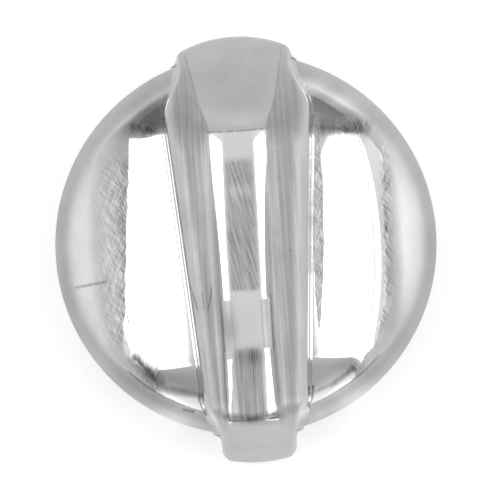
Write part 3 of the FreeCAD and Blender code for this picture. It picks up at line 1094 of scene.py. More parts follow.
@dataclass(frozen=True)
class PolishedZinc:
    """Die-cast zinc, buffed on its front: mirror bright in the scoops, satin on ring, ridges and facets."""

    name: str = "zinc_die_casting_polished"
    polished_colour: str = "#e9e9e8"
    satin_colour: str = "#c6c6c5"
    cast_colour: str = "#9b9b9a"
    polished: float = 0.08
    satin: float = 0.56
    cast: float = 0.6
    streak_scale: Pair = (2.4, 0.05)
    streak_depth: float = 0.16
    slant: float = 13.0
    slant_scale: Pair = (3.36, 0.15)
    slant_shift: float = 0.2
    slant_from: Pair = (-10.0, -9.0)
    hatch_scale: Pair = (5.0, 0.35)
    hatch_depth: float = 0.24
    hatch_turns: tuple[float, ...] = (17.0, -24.0, 42.0)
    hatch_shift: float = 0.1
    grain: float = 0.33
    grain_depth: float = 0.16
    mottle: float = 5.0
    mottle_depth: float = 0.05
    ragged_scale: Pair = (1.6, 0.22)
    ragged_shift: float = 0.3
    raggedness: float = 0.3
    border: Pair = (0.38, 0.62)
    mark_shade: float = 0.34
    mark_gaps: Pair = (0.3, 0.55)
    mark_depths: Pair = (0.35, 1.0)

    def material(self, wear_and_shade_marks: Sequence[WearAndShadeMark]) -> bpy.types.Material:
        """Build the material: bright metal that is sharp, satin or as cast from zone to zone.

        Args:
            wear_and_shade_marks: Single dark marks on the front: rubbed marks of wear, and painted shade
                along edges, in creases and in corners.

        Returns:
            The material.
        """
        # To the eye: a white mirror in the scoops, soft grey on ring and ridges, dull grey behind.
        material, tree, shader = new_material(self.name)
        shader.inputs["Metallic"].default_value = 1.0
        zone = {}
        for kind in Zone:
            zone[kind] = add_node(tree, "ShaderNodeAttribute", {"attribute_name": kind.value}).outputs["Fac"]
        place = add_node(tree, "ShaderNodeTexCoord").outputs["Object"]
        ragged = lines(tree, place, 0.0, self.ragged_scale, self.ragged_shift)
        worn = self.rough_edge(tree, zone[Zone.WORN], ragged)
        dull = calculate(tree, "SUBTRACT", 1.0, self.rough_edge(tree, zone[Zone.POLISHED], ragged))
        dull = calculate(tree, "MAXIMUM", dull, worn)
        # Dark marks: real marks of wear, and painted shade along edges, in creases and in corners.
        marks = calculate(tree, "MULTIPLY", self.wear_and_shade_marks(tree, place, ragged, wear_and_shade_marks), zone[Zone.MARKED])
        dull = calculate(tree, "MAXIMUM", dull, marks)
        mottle = swing(tree, cloud(tree, place, self.mottle), NOISE_WIDE, self.mottle_depth)
        uneven = calculate(tree, "ADD", self.streaks(tree, place, zone[Zone.BRUSHED], worn), mottle)
        scratches = calculate(tree, "MULTIPLY", self.hatching(tree, place), zone[Zone.SCRATCHED])
        # The painted highlights and shade of the tone zone scale the colour here.
        shade = calculate(tree, "ADD", calculate(tree, "MULTIPLY", uneven, dull), zone[Zone.TONE])
        shade = calculate(tree, "ADD", shade, scratches)
        shade = calculate(tree, "MULTIPLY", shade, spread(tree, marks, UNIT, (1.0, self.mark_shade)))
        front = mix_colour(tree, dull, linear(self.polished_colour), linear(self.satin_colour))
        colour = mix_colour(tree, zone[Zone.CAST], scaled(tree, front, shade), linear(self.cast_colour))
        depths = (1 - self.grain_depth, 1 + self.grain_depth)
        grain = spread(tree, cloud(tree, place, self.grain), UNIT, depths)
        rough = calculate(tree, "MULTIPLY", spread(tree, dull, UNIT, (self.polished, self.satin)), grain)
        rough = add_node(tree, "ShaderNodeMix", None, {0: zone[Zone.CAST], 2: rough, 3: self.cast})
        feed(tree, shader, {"Base Color": colour, "Roughness": rough.outputs[0]})
        return material

    def streaks(self, tree: Any, place: Any, brushed: Any, worn: Any) -> Any:
        """Buffing streaks along the bar, which slant on the upper patch of wear that also carries the painted
        reflection of the lens.

        Args:
            tree: Node tree of the material.
            place: Socket with the place on the piece.
            brushed: Socket with the weight of the brushed zone.
            worn: Socket with the weight of the patches of wear, which also carry the painted reflection of
                the lens.

        Returns:
            Socket with the change of shade.
        """
        # The real streaks are finer: these are drawn coarser so that they show at this size.
        streak = lines(tree, place, 0.0, self.streak_scale, 0.0)
        slant = lines(tree, place, self.slant, self.slant_scale, self.slant_shift)
        along = add_node(tree, "ShaderNodeSeparateXYZ", None, {0: place}).outputs[1]
        upper = spread(tree, along, (self.slant_from[0] * MM, self.slant_from[1] * MM), UNIT)
        slanted = calculate(tree, "MULTIPLY", worn, upper)
        pattern = add_node(tree, "ShaderNodeMix", None, {0: slanted, 2: streak, 3: slant}).outputs[0]
        change = swing(tree, pattern, NOISE_WIDE, self.streak_depth)
        return calculate(tree, "MULTIPLY", change, calculate(tree, "ADD", brushed, worn))

    def rough_edge(self, tree: Any, weight: Any, ragged: Any) -> Any:
        """Give the soft border of a zone a ragged edge."""
        moved = calculate(tree, "ADD", weight, swing(tree, ragged, NOISE_ALL, self.raggedness))
        return spread(tree, moved, self.border, UNIT)

    def hatching(self, tree: Any, place: Any) -> Any:
        """Crossed fine scratches, lighter and darker than the metal round them.

        Args:
            tree: Node tree of the material.
            place: Socket with the place on the piece.

        Returns:
            Socket with the change of shade.
        """
        # Drawn coarser than the real scratches, for the same reason as the streaks.
        total: Any = 0.0
        for number, turn in enumerate(self.hatch_turns):
            drawn = lines(tree, place, turn, self.hatch_scale, self.hatch_shift * number)
            total = calculate(tree, "ADD", total, swing(tree, drawn, NOISE_CORE, self.hatch_depth))
        return total

    def wear_and_shade_marks(self, tree: Any, place: Any, ragged: Any, wear_and_shade_marks: Sequence[WearAndShadeMark]) -> Any:
        """Single dark marks on the front, of wear and of painted shade, broken up along their length.

        Args:
            tree: Node tree of the material.
            place: Socket with the place on the piece.
            ragged: Socket with the noise that breaks the marks up.
            wear_and_shade_marks: The marks.

        Returns:
            Socket with the depth of the deepest mark.
        """
        flat = vector_math(tree, "MULTIPLY", place, (1 / MM, 1 / MM, 0.0))
        deepest: Any = 0.0
        for wear_and_shade_mark in wear_and_shade_marks:
            way = (wear_and_shade_mark.end[0] - wear_and_shade_mark.start[0], wear_and_shade_mark.end[1] - wear_and_shade_mark.start[1], 0.0)
            length = math.hypot(*way)
            rate = tuple(part / length ** 2 for part in way)
            offset = vector_math(tree, "SUBTRACT", flat, (*wear_and_shade_mark.start, 0.0))
            share = vector_math(tree, "DOT_PRODUCT", offset, rate, "Value")
            nearest = scaled(tree, way, add_node(tree, "ShaderNodeClamp", None, {0: share}).outputs[0])
            apart = vector_math(tree, "DISTANCE", offset, nearest, "Value")
            mask = spread(tree, apart, (wear_and_shade_mark.half, 0.0), (0.0, wear_and_shade_mark.strength))
            deepest = calculate(tree, "MAXIMUM", deepest, mask)
        return calculate(tree, "MULTIPLY", deepest, spread(tree, ragged, self.mark_gaps, self.mark_depths))


@dataclass(frozen=True)
class FinishMap:
    """Where the finishes of the front meet, seen from above, and where their colour is painted lighter or
    darker as highlight and shade.
    """

    disc: DiscForm
    bar: BarForm
    # What counts as on the disc, as on the bar's top and as low down.
    skin: float = 0.35
    top_margin: float = 1.5
    side_margin: float = 0.02
    low: float = 9.0
    # Mirror finish of the scoops: its borders, and how light each finish may be.
    left_edge: float = 16.7
    left_lean: float = 0.09
    right_edge: float = 19.3
    right_lean: float = 0.045
    right_curl: float = 0.25
    right_middle: float = 1.0
    right_straight: float = 10.0
    edge_soft: float = 0.6
    polish_end: float = 23.2
    polish_soft: float = 1.0
    polish_half: float = 0.5
    polish_lightest: float = 0.02
    satin_lightest: float = 0.65
    # Flanks of the bar, painted shade on the rim of the ring, and corners where the polish is dull and
    # painted shade falls.
    flank_end: Pair = (23.5, 22.0)
    rim: Pair = (23.8, 25.8)
    rim_shade: float = -0.12
    corner_shade: float = -0.4
    # Polish that runs onto the lower lips, a painted highlight on them, and painted shade on the walls at the
    # lower end of the scoops.
    lip_start: Pair = (-14.5, -17.0)
    lip_side: Pair = (16.0, 13.5)
    lip_more: float = 1.3
    lip_line: float = 22.4
    lip_lean: float = 0.28
    lip_from: float = 8.0
    lip_soft: float = 0.2
    lip_end: Pair = (24.6, 24.1)
    lip_highlight: float = 0.2
    lower_wall_shade: float = -0.3
    # Satin band along the right foot of the bar.
    foot_line: float = 10.2
    foot_lean: float = 0.058
    foot_half: float = 0.75
    foot_bow: float = 0.003
    foot_middle: float = 2.0
    foot_soft: float = 0.2
    foot_end: Pair = (-14.5, -11.0)
    foot_tone: float = 0.22
    # Crossed scratches beside the scoops.
    band_start: Pair = (-0.5, 0.2)
    band_end: Pair = (15.0, 11.0)
    left_band: float = 22.0
    right_band: float = 1.8
    # Ridges of the bar, with painted shade on their crowns, and the channel between the brows.
    crown_inset: float = 0.3
    crown_end: float = 1.5
    crown_past: float = 2.0
    crease_soft: float = 0.12
    brow_span: Pair = (0.1, -0.3)
    # Two patches of wear in the channel, also darkened as a painted reflection of the lens, and the calm
    # stretch between them.
    upper_half: Pair = (2.5, 1.4)
    upper_start: Pair = (-6.8, -5.8)
    upper_end: Pair = (12.5, 10.8)
    lower_start: Pair = (-13.6, -15.0)
    lower_length: float = 8.0
    lower_half: float = 1.9
    lower_soft: Pair = (0.5, -0.4)
    lower_shift: float = 0.3
    lower_flare: float = 0.06
    calm_half: Pair = (1.5, 2.3)
    calm_ends: Pair = (-15.6, -14.3)
    calm_soft: Pair = (-0.5, 0.4)
    calm_start: Pair = (-7.0, -8.0)
    # Painted darkening of the patches of wear and of the ridges' crowns.
    lens_reflection_and_crown_shade: float = -0.28

    def scoop_edge(self, x: Array, y: Array) -> Array:
        """Border of the mirror finish in the scoops.

        Args:
            x: Places across the bar.
            y: Places along the bar.

        Returns:
            Distance of the border from the bar's middle line.
        """
        curl = np.maximum(np.abs(y - self.right_middle) - self.right_straight, 0.0)
        right = self.right_edge + self.right_lean * y - self.right_curl * curl
        return np.where(x > 0, right, self.left_edge - self.left_lean * y)

    def foot_band(self, x: Array, y: Array, z: Array) -> Array:
        """Satin band along the right foot of the bar.

        Args:
            x: Places across the bar.
            y: Places along the bar.
            z: Heights.

        Returns:
            Weight of the band.
        """
        half = self.foot_half - self.foot_bow * (y - self.foot_middle) ** 2
        apart = np.abs(x - self.foot_line - self.foot_lean * y)
        return (smooth_step(half + self.foot_soft, half - self.foot_soft, apart) * (z < self.low)
                * smooth_step(*self.foot_end, y))

    def disc_finish(self, x: Array, y: Array, foot: Array) -> tuple[Array, Array, Array, Array]:
        """Finish of the disc.

        Args:
            x: Places across the bar.
            y: Places along the bar.
            foot: Weight of the band along the bar's foot.

        Returns:
            Weights of polish and scratches, change of tone from painted highlights and shade, and weight of
            the lower lips, which get a painted highlight.
        """
        reach, aside, edge = np.hypot(x, y), np.abs(x), self.scoop_edge(x, y)
        lip_area = smooth_step(*self.lip_start, y) * smooth_step(*self.lip_side, aside)
        end = self.polish_end + self.lip_more * lip_area
        inner = self.lip_line + self.lip_lean * (aside - self.lip_from)
        past = smooth_step(inner - self.lip_soft, inner + self.lip_soft, reach)
        lip = past * smooth_step(*self.lip_end, reach) * lip_area
        wall = smooth_step(inner + self.lip_soft, inner - self.lip_soft, reach) * lip_area
        # Corners of the scoops where the polish is dull, also darkened there with painted shade.
        dulled_and_shaded = np.minimum(spotted(DULLED_AND_SHADED_CORNERS, x, y), 1.0)
        scoop = smooth_step(edge + self.edge_soft, edge - self.edge_soft, aside)
        scoop = scoop * smooth_step(end, end - self.polish_soft, reach) * (1 - dulled_and_shaded) * (1 - foot)
        outer = np.where(x > 0, edge + self.right_band, self.left_band)
        band = (smooth_step(edge + self.band_start[0], edge + self.band_start[1], aside)
                * smooth_step(*self.band_end, np.abs(y)) * smooth_step(outer, edge, aside))
        # Painted highlights and shade: the spots, painted shade on the outer rim, on the lower end walls and
        # in the corners where the polish is dull.
        tone = (spotted(DISC_HIGHLIGHTS_AND_SHADE, x, y) + self.rim_shade * smooth_step(*self.rim, reach)
                + self.lower_wall_shade * wall + self.corner_shade * dulled_and_shaded)
        lightest = np.where(scoop > self.polish_half, self.polish_lightest, self.satin_lightest)
        return scoop, band + dulled_and_shaded + foot, np.minimum(tone, lightest) + self.foot_tone * foot, lip

    def bar_finish(self, x: Array, y: Array, size: dict[str, Array]) -> tuple[Array, Array, Array, Array]:
        """Finish of the bar's top.

        Args:
            x: Places across the bar.
            y: Places along the bar.
            size: Section sizes of the bar at those places.

        Returns:
            Weights of polish, of the patches of wear with their painted reflection of the lens and of
            brushing, and the tone with its painted highlights and shade.
        """
        wide, narrow, inside = self.bar.wide, self.bar.narrow, x - size["drift"]
        middle = np.abs(inside)
        ridge = smooth_step(size["crease"] - self.crease_soft, size["crease"] + self.crease_soft, middle)
        crown = (smooth_step(size["side"], size["ridge"] + self.crown_inset, np.abs(x))
                 * smooth_step(-narrow.brow - self.crown_end, -narrow.brow + self.crown_end, y)
                 * smooth_step(wide.tip + self.crown_past, wide.brow, y))
        between = (smooth_step(wide.brow + self.brow_span[0], wide.brow + self.brow_span[1], y)
                   * smooth_step(-narrow.brow - self.brow_span[0], -narrow.brow - self.brow_span[1], y))
        upper = (smooth_step(*self.upper_half, middle) * smooth_step(*self.upper_start, y)
                 * smooth_step(*self.upper_end, y))
        flare = self.lower_flare * np.clip(self.lower_start[1] - y, 0.0, self.lower_length)
        half, off = self.lower_half + flare, np.abs(inside + self.lower_shift + flare)
        lower = (smooth_step(half + self.lower_soft[0], half + self.lower_soft[1], off)
                 * smooth_step(*self.lower_start, y))
        end = np.where(inside < 0, *self.calm_ends)
        calm = (smooth_step(*self.calm_half, middle) * smooth_step(*self.calm_start, y)
                * smooth_step(end + self.calm_soft[0], end + self.calm_soft[1], y))
        channel = between * (1 - ridge)
        worn = np.minimum(upper + lower, 1.0) * channel
        # Painted shade on the ridges' crowns, the painted reflection of the lens on the patches of wear, and
        # the painted highlights and shade of the spots.
        tone = 1 + self.lens_reflection_and_crown_shade * np.maximum(ridge * crown, worn) + spotted(BAR_HIGHLIGHTS_AND_SHADE, x, y)
        return channel * (1 - calm), worn, np.maximum(ridge * crown, channel), tone

    def weights(self, x: Array, y: Array, z: Array) -> dict[Zone, Array]:
        """Weight of each surface zone.

        Args:
            x: Places across the bar.
            y: Places along the bar.
            z: Heights.

        Returns:
            Weights at those places by zone.
        """
        size, reach = self.bar.rule(y), np.hypot(x, y)
        on_disc = np.abs(self.disc.clearance(x, y, z)) < self.skin
        on_top = z > size["crest"] - size["depth"] - self.top_margin
        on_top &= np.abs(x) < size["side"] - self.side_margin
        foot = self.foot_band(x, y, z)
        scoop, band, tone, lip = self.disc_finish(x, y, foot)
        channel, worn, brushed, bar_tone = self.bar_finish(x, y, size)
        flank = smooth_step(*self.flank_end, reach) * (1 - foot)
        # Painted highlights and shade go into the tone zone: the lips get a painted highlight, and the flanks
        # near the ends take the disc's painted highlights.
        flank_tone = 1 + np.maximum(tone, 0.0) * (reach > self.flank_end[1]) + self.foot_tone * foot
        areas, nothing = [on_top, on_disc], np.zeros_like(x)
        return {Zone.POLISHED: np.select(areas, [channel, scoop], flank),
                Zone.WORN: np.where(on_top, worn, 0.0),
                Zone.BRUSHED: np.where(on_top, brushed, 0.0),
                Zone.TONE: np.select(areas, [bar_tone, 1 + self.lip_highlight * lip + tone], flank_tone),
                Zone.SCRATCHED: np.select(areas, [nothing, band], foot),
                Zone.MARKED: np.where(on_disc | on_top | (z < self.low), 1.0, 0.0)}


class Edge(Enum):
    """Edges of the bar that a painted line of shade follows, by their names among its section sizes."""

    SIDE = "side"
    CREASE = "crease"
    FOOT = "foot"


@dataclass(frozen=True)
class PaintedShadeLine:
    """Painted line of shade along an edge of the bar, on its left, its right or both, drawn as a chain of
    short dark marks.
    """

    edge: Edge
    span: Pair
    points: int
    hands: tuple[float, ...]
    half: float
    strength: float
    beside: float = 0.0

    def wear_and_shade_marks(self, bar: BarForm) -> list[WearAndShadeMark]:
        """Chain of short dark marks of painted shade along the edge.

        Args:
            bar: Form whose edge the line follows.

        Returns:
            The marks in order.
        """
        along = np.linspace(*self.span, self.points)
        size, chain = bar.rule(along), []
        drift = size["drift"] * (self.edge is Edge.CREASE)
        for hand in self.hands:
            across = hand * (size[self.edge.value] + self.beside) + drift
            points = list(zip(across.tolist(), along.tolist()))
            chain += [WearAndShadeMark(start, end, self.half, self.strength) for start, end in zip(points, points[1:])]
        return chain


LEFT, BOTH = (-1.0,), (-1.0, 1.0)
# Painted shade along the left flank's upper edge and in the creases beside the channel, and a painted shadow
# where the narrow end meets the disc.
PAINTED_SHADE_LINES = (
    PaintedShadeLine(Edge.SIDE, (18.0, -20.0), 6, LEFT, 0.16, 1.0, beside=-0.12),
    PaintedShadeLine(Edge.CREASE, (16.2, 26.6), 4, BOTH, 0.2, 0.4),
    PaintedShadeLine(Edge.CREASE, (15.0, -7.0), 4, LEFT, 0.14, 0.5),
    PaintedShadeLine(Edge.CREASE, (-7.0, -14.4), 3, BOTH, 0.22, 0.8),
    PaintedShadeLine(Edge.FOOT, (-20.4, -23.2), 4, BOTH, 0.24, 1.0, beside=0.25),
)


@dataclass
class KnobShell:
    """Cast shell of the knob: disc, bar and hollow back in one piece."""

    disc: DiscForm
    bar: BarForm
    hollow: HollowForm
    finish: PolishedZinc
    name: str = "cast_shell"
    node: str = "knob_body"
    slot: str = "polished_casting"
    sharp_angle: float = 38.0

    def build(self) -> bpy.types.Object:
        """Make the shell's mesh in place of its plain solid.

        Returns:
            The shell, with the zones of its surface written on it.
        """
        shell = self.disc.blank()
        combine(shell, self.bar.solid(self.disc), Join.UNITE)
        cutter = self.hollow.cutter(self.disc, self.bar)
        # The slot numbers tell the front from the hollow back once the two are joined.
        for piece, side in ((shell, 0), (cutter, 1)):
            piece.data.materials.clear()
            for _ in range(2):
                piece.data.materials.append(None)
            sides = np.full(len(piece.data.polygons), side, np.int32)
            piece.data.polygons.foreach_set("material_index", sides)
        combine(shell, cutter, Join.CUT)
        shell.name = shell.data.name = self.name
        shell.data.shade_smooth()
        shell.data.set_sharp_from_angle(angle=math.radians(self.sharp_angle))
        self.mark_zones(shell.data)
        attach(shell, BODY)
        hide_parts(self.node)
        return shell

    def mark_zones(self, mesh: bpy.types.Mesh) -> None:
        """Write the weight of each surface zone on the mesh.

        Args:
            mesh: Mesh of the shell, whose second material slot tells its back from its front.
        """
        flat = np.zeros(len(mesh.vertices) * 3, np.float32)
        mesh.vertices.foreach_get("co", flat)
        places = (flat.reshape(-1, 3) / MM).T.astype(float)
        for zone, value in FinishMap(self.disc, self.bar).weights(*places).items():
            layer = mesh.attributes.new(zone.value, "FLOAT", "POINT")
            layer.data.foreach_set("value", value.astype(np.float32))
        side = np.zeros(len(mesh.polygons), np.int32)
        mesh.polygons.foreach_get("material_index", side)
        layer = mesh.attributes.new(Zone.CAST.value, "FLOAT", "FACE")
        layer.data.foreach_set("value", side.astype(np.float32))
        mesh.polygons.foreach_set("material_index", np.zeros_like(side))

    def dress(self, shell: bpy.types.Object) -> None:
        """Give the shell its finish, its marks of wear and its painted lines of shade.

        Args:
            shell: The shell as built.
        """
        painted_shade_chains = [wear_and_shade_mark for line in PAINTED_SHADE_LINES for wear_and_shade_mark in line.wear_and_shade_marks(self.bar)]
        shell.data.materials.clear()
        shell.data.materials.append(self.finish.material([*WEAR_AND_SHADE_MARKS, *painted_shade_chains]))


@dataclass(frozen=True)
class MouldedNylon:
    """Glass-filled nylon, injection moulded: dark and half matt, with the fine eroded grain of its mould."""

    name: str = "nylon_66_moulded"
    colour: str = "#29292b"
    pale: str = "#3b3b3e"
    rough: float = 0.46
    rough_swing: float = 0.08
    grain: float = 0.3
    flow: float = 2.6
    relief: float = 0.015
    relief_strength: float = 0.6

    def material(self) -> bpy.types.Material:
        """Build the material, clouded where the glass fibres flowed.

        Returns:
            The material.
        """
        # To the eye: near-black plastic with a soft, slightly uneven shine.
        material, tree, shader = new_material(self.name)
        place = add_node(tree, "ShaderNodeTexCoord").outputs["Object"]
        flow = spread(tree, cloud(tree, place, self.flow), NOISE_MOST, UNIT)
        grain = cloud(tree, place, self.grain)
        relief = {"Height": grain, "Distance": self.relief * MM, "Strength": self.relief_strength}
        bump = add_node(tree, "ShaderNodeBump", None, relief).outputs[0]
        limits = (self.rough - self.rough_swing, self.rough + self.rough_swing)
        rough = spread(tree, grain, NOISE_WIDE, limits)
        colour = mix_colour(tree, flow, linear(self.colour), linear(self.pale))
        feed(tree, shader, {"Base Color": colour, "Roughness": rough, "Normal": bump})
        return material


@dataclass(frozen=True)
class StemInsert:
    """Moulded hub pressed in the shell's socket; its solid has the right shape and keeps it."""

    finish: MouldedNylon
    node: str = "stem_insert"

    def dress(self) -> bpy.types.Object:
        """Give the hub its finish.

        Returns:
            The hub's own node.
        """
        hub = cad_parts[self.node]
        hub.data.materials.clear()
        hub.data.materials.append(self.finish.material())
        return hub


@dataclass(frozen=True)
class SpringSteel:
    """Cold-rolled spring steel strip: bright grey, with fine rolling lines along the strip."""

    name: str = "spring_steel_rolled"
    colour: str = "#a6a39c"
    dark: str = "#7d7a75"
    rough: float = 0.3
    rough_swing: float = 0.15
    line: float = 0.18
    run: float = 6.0

    def material(self) -> bpy.types.Material:
        """Build the material, with lines that run round the band.

        Returns:
            The material.
        """
        # To the eye: bright grey metal with darker lines along the strip.
        material, tree, shader = new_material(self.name)
        shader.inputs["Metallic"].default_value = 1.0
        place = add_node(tree, "ShaderNodeTexCoord").outputs["Object"]
        rolled = add_node(tree, "ShaderNodeMapping", {"vector_type": "TEXTURE"}, {
            "Vector": place, "Scale": (MM * self.run, MM * self.run, MM * self.line)}).outputs[0]
        rolled = add_node(tree, "ShaderNodeTexNoise", None, {
            "Vector": rolled, "Scale": 1.0, "Detail": NOISE_DETAIL}).outputs["Fac"]
        share = spread(tree, rolled, NOISE_MOST, UNIT)
        colour = mix_colour(tree, share, linear(self.colour), linear(self.dark))
        rough = spread(tree, share, UNIT, (self.rough, self.rough + self.rough_swing))
        feed(tree, shader, {"Base Color": colour, "Roughness": rough})
        return material


@dataclass(frozen=True)
class SpringClip:
    """Open band of spring steel round the insert's tail, swept along an arc."""

    finish: SpringSteel
    name: str = "clip_band"
    node: str = "spring_clip"
    slot: str = "clip_steel"
    inside: float = 4.27
    thickness: float = 0.5
    height: float = 3.0
    foot: float = 1.02
    sweep: float = 310.0
    middle_turn: float = 450.0
    edge: float = 0.12
    edge_steps: int = 3
    steps: int = 72
    sharp_angle: float = 40.0

    def sizes(self) -> dict[str, float]:
        """Inputs of the sweep.

        Returns:
            Lengths in metres and angles in radians by name.
        """
        return {"Radius": (self.inside + self.thickness / 2) * MM,
                "Start": math.radians(self.middle_turn - self.sweep / 2), "Sweep": math.radians(self.sweep),
                "Thickness": self.thickness * MM, "Height": self.height * MM, "Edge": self.edge * MM,
                "Middle": (self.foot + self.height / 2) * MM}

    def tree(self) -> bpy.types.NodeTree:
        """Make the node tree that sweeps the band's rounded section along its arc.

        Returns:
            The tree, with the sizes as its inputs.
        """
        tree = bpy.data.node_groups.new("swept_band", "GeometryNodeTree")
        tree.interface.new_socket("Geometry", in_out="OUTPUT", socket_type="NodeSocketGeometry")
        for name in self.sizes():
            tree.interface.new_socket(name, in_out="INPUT", socket_type="NodeSocketFloat")
        size = add_node(tree, "NodeGroupInput").outputs
        arc = add_node(tree, "GeometryNodeCurveArc", {"mode": "RADIUS"}, {
            "Resolution": self.steps, "Radius": size["Radius"], "Start Angle": size["Start"],
            "Sweep Angle": size["Sweep"]})
        section = add_node(tree, "GeometryNodeCurvePrimitiveQuadrilateral", {"mode": "RECTANGLE"},
                           {"Width": size["Thickness"], "Height": size["Height"]})
        section = add_node(tree, "GeometryNodeFilletCurve", {"mode": "POLY"},
                           {"Curve": section.outputs[0], "Radius": size["Edge"], "Count": self.edge_steps})
        band = add_node(tree, "GeometryNodeCurveToMesh", None, {
            "Curve": arc.outputs[0], "Profile Curve": section.outputs[0], "Fill Caps": True})
        middle = add_node(tree, "ShaderNodeCombineXYZ", None, {"Z": size["Middle"]})
        band = add_node(tree, "GeometryNodeTransform", None,
                        {"Geometry": band.outputs[0], "Translation": middle.outputs[0]})
        band = add_node(tree, "GeometryNodeRealizeInstances", None, {0: band.outputs[0]})
        band = add_node(tree, "GeometryNodeSetMaterial", None,
                        {"Geometry": band.outputs[0], "Material": self.finish.material()})
        add_node(tree, "NodeGroupOutput", None, {0: band.outputs[0]})
        return tree

    def build(self) -> bpy.types.Object:
        """Make the band in place of its plain solid.

        Returns:
            The band as a plain mesh.
        """
        clip = mesh_object(self.name, np.zeros((0, 3)), [])
        sweep = clip.modifiers.new("sweep", "NODES")
        sweep.node_group = self.tree()
        named = {item.name: item.identifier for item in sweep.node_group.interface.items_tree
                 if item.in_out == "INPUT"}
        for name, value in self.sizes().items():
            sweep[named[name]] = value
        settle_modifiers(clip)
        clip.data.shade_smooth()
        clip.data.set_sharp_from_angle(angle=math.radians(self.sharp_angle))
        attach(clip, BODY)
        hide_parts(self.node)
        return clip


@dataclass(frozen=True)
class SoftBox:
    """Rectangle of soft light that faces the knob."""

    name: str
    place: tuple[float, float, float]
    size: Pair
    glow: float = 2.3

    def hang(self) -> None:
        """Hang the box in its place, its face as many times brighter than white as its glow says."""
        data = bpy.data.lights.new(self.name, "AREA")
        data.shape = "RECTANGLE"
        data.size, data.size_y = self.size[0] * MM, self.size[1] * MM
        data.energy = self.glow * math.pi * data.size * data.size_y
        lamp = bpy.data.objects.new(self.name, data)
        bpy.context.scene.collection.objects.link(lamp)
        lamp.location = Vector(self.place) * MM
        lamp.rotation_euler = (-lamp.location).to_track_quat("-Z", "Y").to_euler()


SOFT_BOXES = (
    SoftBox("soft_box_left", (-716.0, 0.0, 644.0), (640.0, 560.0)),
    SoftBox("soft_box_right", (748.0, 0.0, 606.0), (640.0, 670.0)),
)


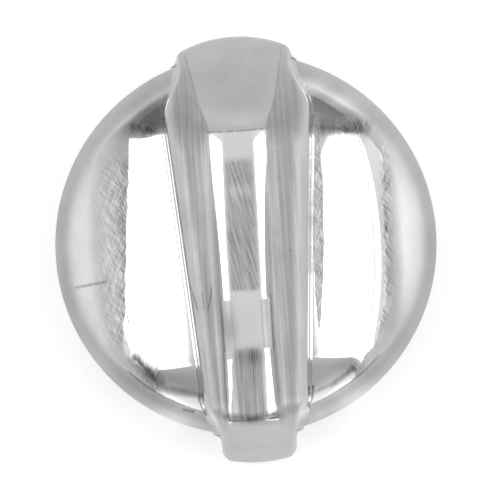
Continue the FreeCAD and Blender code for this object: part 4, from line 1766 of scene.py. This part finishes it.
@dataclass(frozen=True)
class Studio:
    """Plain soft studio: pale floor, two soft boxes, a dim ceiling round the lens and the camera."""

    image: int = 500
    disc_pixels: float = 191.75
    disc_centre: Pair = (245.95, 244.48)
    roll: float = -3.85
    distance: float = 560.0
    disc_level: float = 4.0
    disc_radius: float = 27.0
    sensor: float = 36.0
    clip: Pair = (0.01, 20.0)
    floor_colour: str = "#dcdcdc"
    floor_rough: float = 0.9
    floor_lift: float = 0.42
    floor_half: float = 900.0
    floor_level: float = -0.05
    room: tuple[Pair, ...] = ((0.0, 0.78), (8.0, 0.8), (15.0, 0.85), (30.0, 0.85), (50.0, 0.7), (70.0, 0.5),
                              (90.0, 0.5))
    near_side: float = 0.45
    near_span: Pair = (-0.75, -0.25)
    far_side: float = 1.2
    far_span: Pair = (0.05, 0.3)

    def camera(self) -> None:
        """Place the camera over the knob, turned and framed as in the photograph."""
        pixel = self.disc_radius / self.disc_pixels
        width = pixel * self.image
        data = bpy.data.cameras.new("camera")
        data.sensor_width = self.sensor
        data.lens = self.sensor * (self.distance - self.disc_level) / width
        data.clip_start, data.clip_end = self.clip
        eye = bpy.data.objects.new("camera", data)
        bpy.context.scene.collection.objects.link(eye)
        middle = self.image / 2
        offset = Vector(((middle - self.disc_centre[0]) * pixel, (self.disc_centre[1] - middle) * pixel, 0.0))
        turn = Euler((0.0, 0.0, math.radians(self.roll)))
        offset.rotate(turn)
        eye.location = (offset + Vector((0.0, 0.0, self.distance))) * MM
        eye.rotation_euler = turn
        bpy.context.scene.camera = eye

    def floor(self) -> None:
        """Lay the pale floor under the knob, white to the eye and open from below."""
        half, level = self.floor_half, self.floor_level
        corners = [(-half, -half, level), (half, -half, level), (half, half, level), (-half, half, level)]
        floor = mesh_object("floor", np.array(corners), [(0, 1, 2, 3)])
        material, tree, paper = new_material("floor_paper")
        paper.inputs["Base Color"].default_value = linear(self.floor_colour)
        paper.inputs["Roughness"].default_value = self.floor_rough
        ray = add_node(tree, "ShaderNodeLightPath").outputs
        seen = ray["Is Camera Ray"]
        for kind in ("Is Glossy Ray", "Is Transmission Ray"):
            seen = calculate(tree, "MAXIMUM", seen, ray[kind])
        lift = calculate(tree, "MULTIPLY", seen, self.floor_lift)
        glow = add_node(tree, "ShaderNodeEmission", None, {"Strength": lift})
        both = add_node(tree, "ShaderNodeAddShader", None, {0: paper.outputs[0], 1: glow.outputs[0]})
        side = add_node(tree, "ShaderNodeNewGeometry")
        open_below = add_node(tree, "ShaderNodeBsdfTransparent")
        front = add_node(tree, "ShaderNodeMixShader", None,
                         {0: side.outputs["Backfacing"], 1: both.outputs[0], 2: open_below.outputs[0]})
        feed(tree, tree.nodes["Material Output"], {"Surface": front.outputs[0]})
        floor.data.materials.append(material)

    def world(self) -> None:
        """Light the room, dimmer straight above, towards the horizon and on the near side."""
        world = bpy.data.worlds.new("room")
        bpy.context.scene.world = world
        world.use_nodes = True
        tree = world.node_tree
        place = add_node(tree, "ShaderNodeTexCoord")
        axes = add_node(tree, "ShaderNodeSeparateXYZ", None, {0: place.outputs["Generated"]}).outputs
        ramp = add_node(tree, "ShaderNodeValToRGB", None, {0: axes["Z"]})
        stops, halfway = ramp.color_ramp.elements, 0.5
        while len(stops) < len(self.room):
            stops.new(halfway)
        for stop, (angle, grey) in zip(stops, sorted(self.room, reverse=True)):
            stop.position = max(math.cos(math.radians(angle)), 0.0)
            stop.color = (grey, grey, grey, 1.0)
        near = spread(tree, axes["Y"], self.near_span, (self.near_side, 1.0))
        far = spread(tree, axes["Y"], self.far_span, (1.0, self.far_side))
        strength = calculate(tree, "MULTIPLY", near, far)
        feed(tree, tree.nodes["Background"], {"Color": ramp.outputs[0], "Strength": strength})

    def build(self) -> None:
        """Set up the whole studio."""
        self.camera()
        self.floor()
        self.world()
        for box in SOFT_BOXES:
            box.hang()
        bpy.context.scene.view_settings.view_transform = "Standard"


def main() -> None:
    """Build the knob's pieces in order and the studio round them."""
    logging.basicConfig(level=logging.INFO, format="%(message)s")
    shell = KnobShell(DiscForm(), BarForm(), HollowForm(), PolishedZinc())
    made = shell.build()
    shell.dress(made)
    for piece in (made, StemInsert(MouldedNylon()).dress(), SpringClip(SpringSteel()).build()):
        LOG.info("%s: %d faces", piece.name, len(piece.data.polygons))
    Studio().build()


if __name__ == "__main__":
    main()
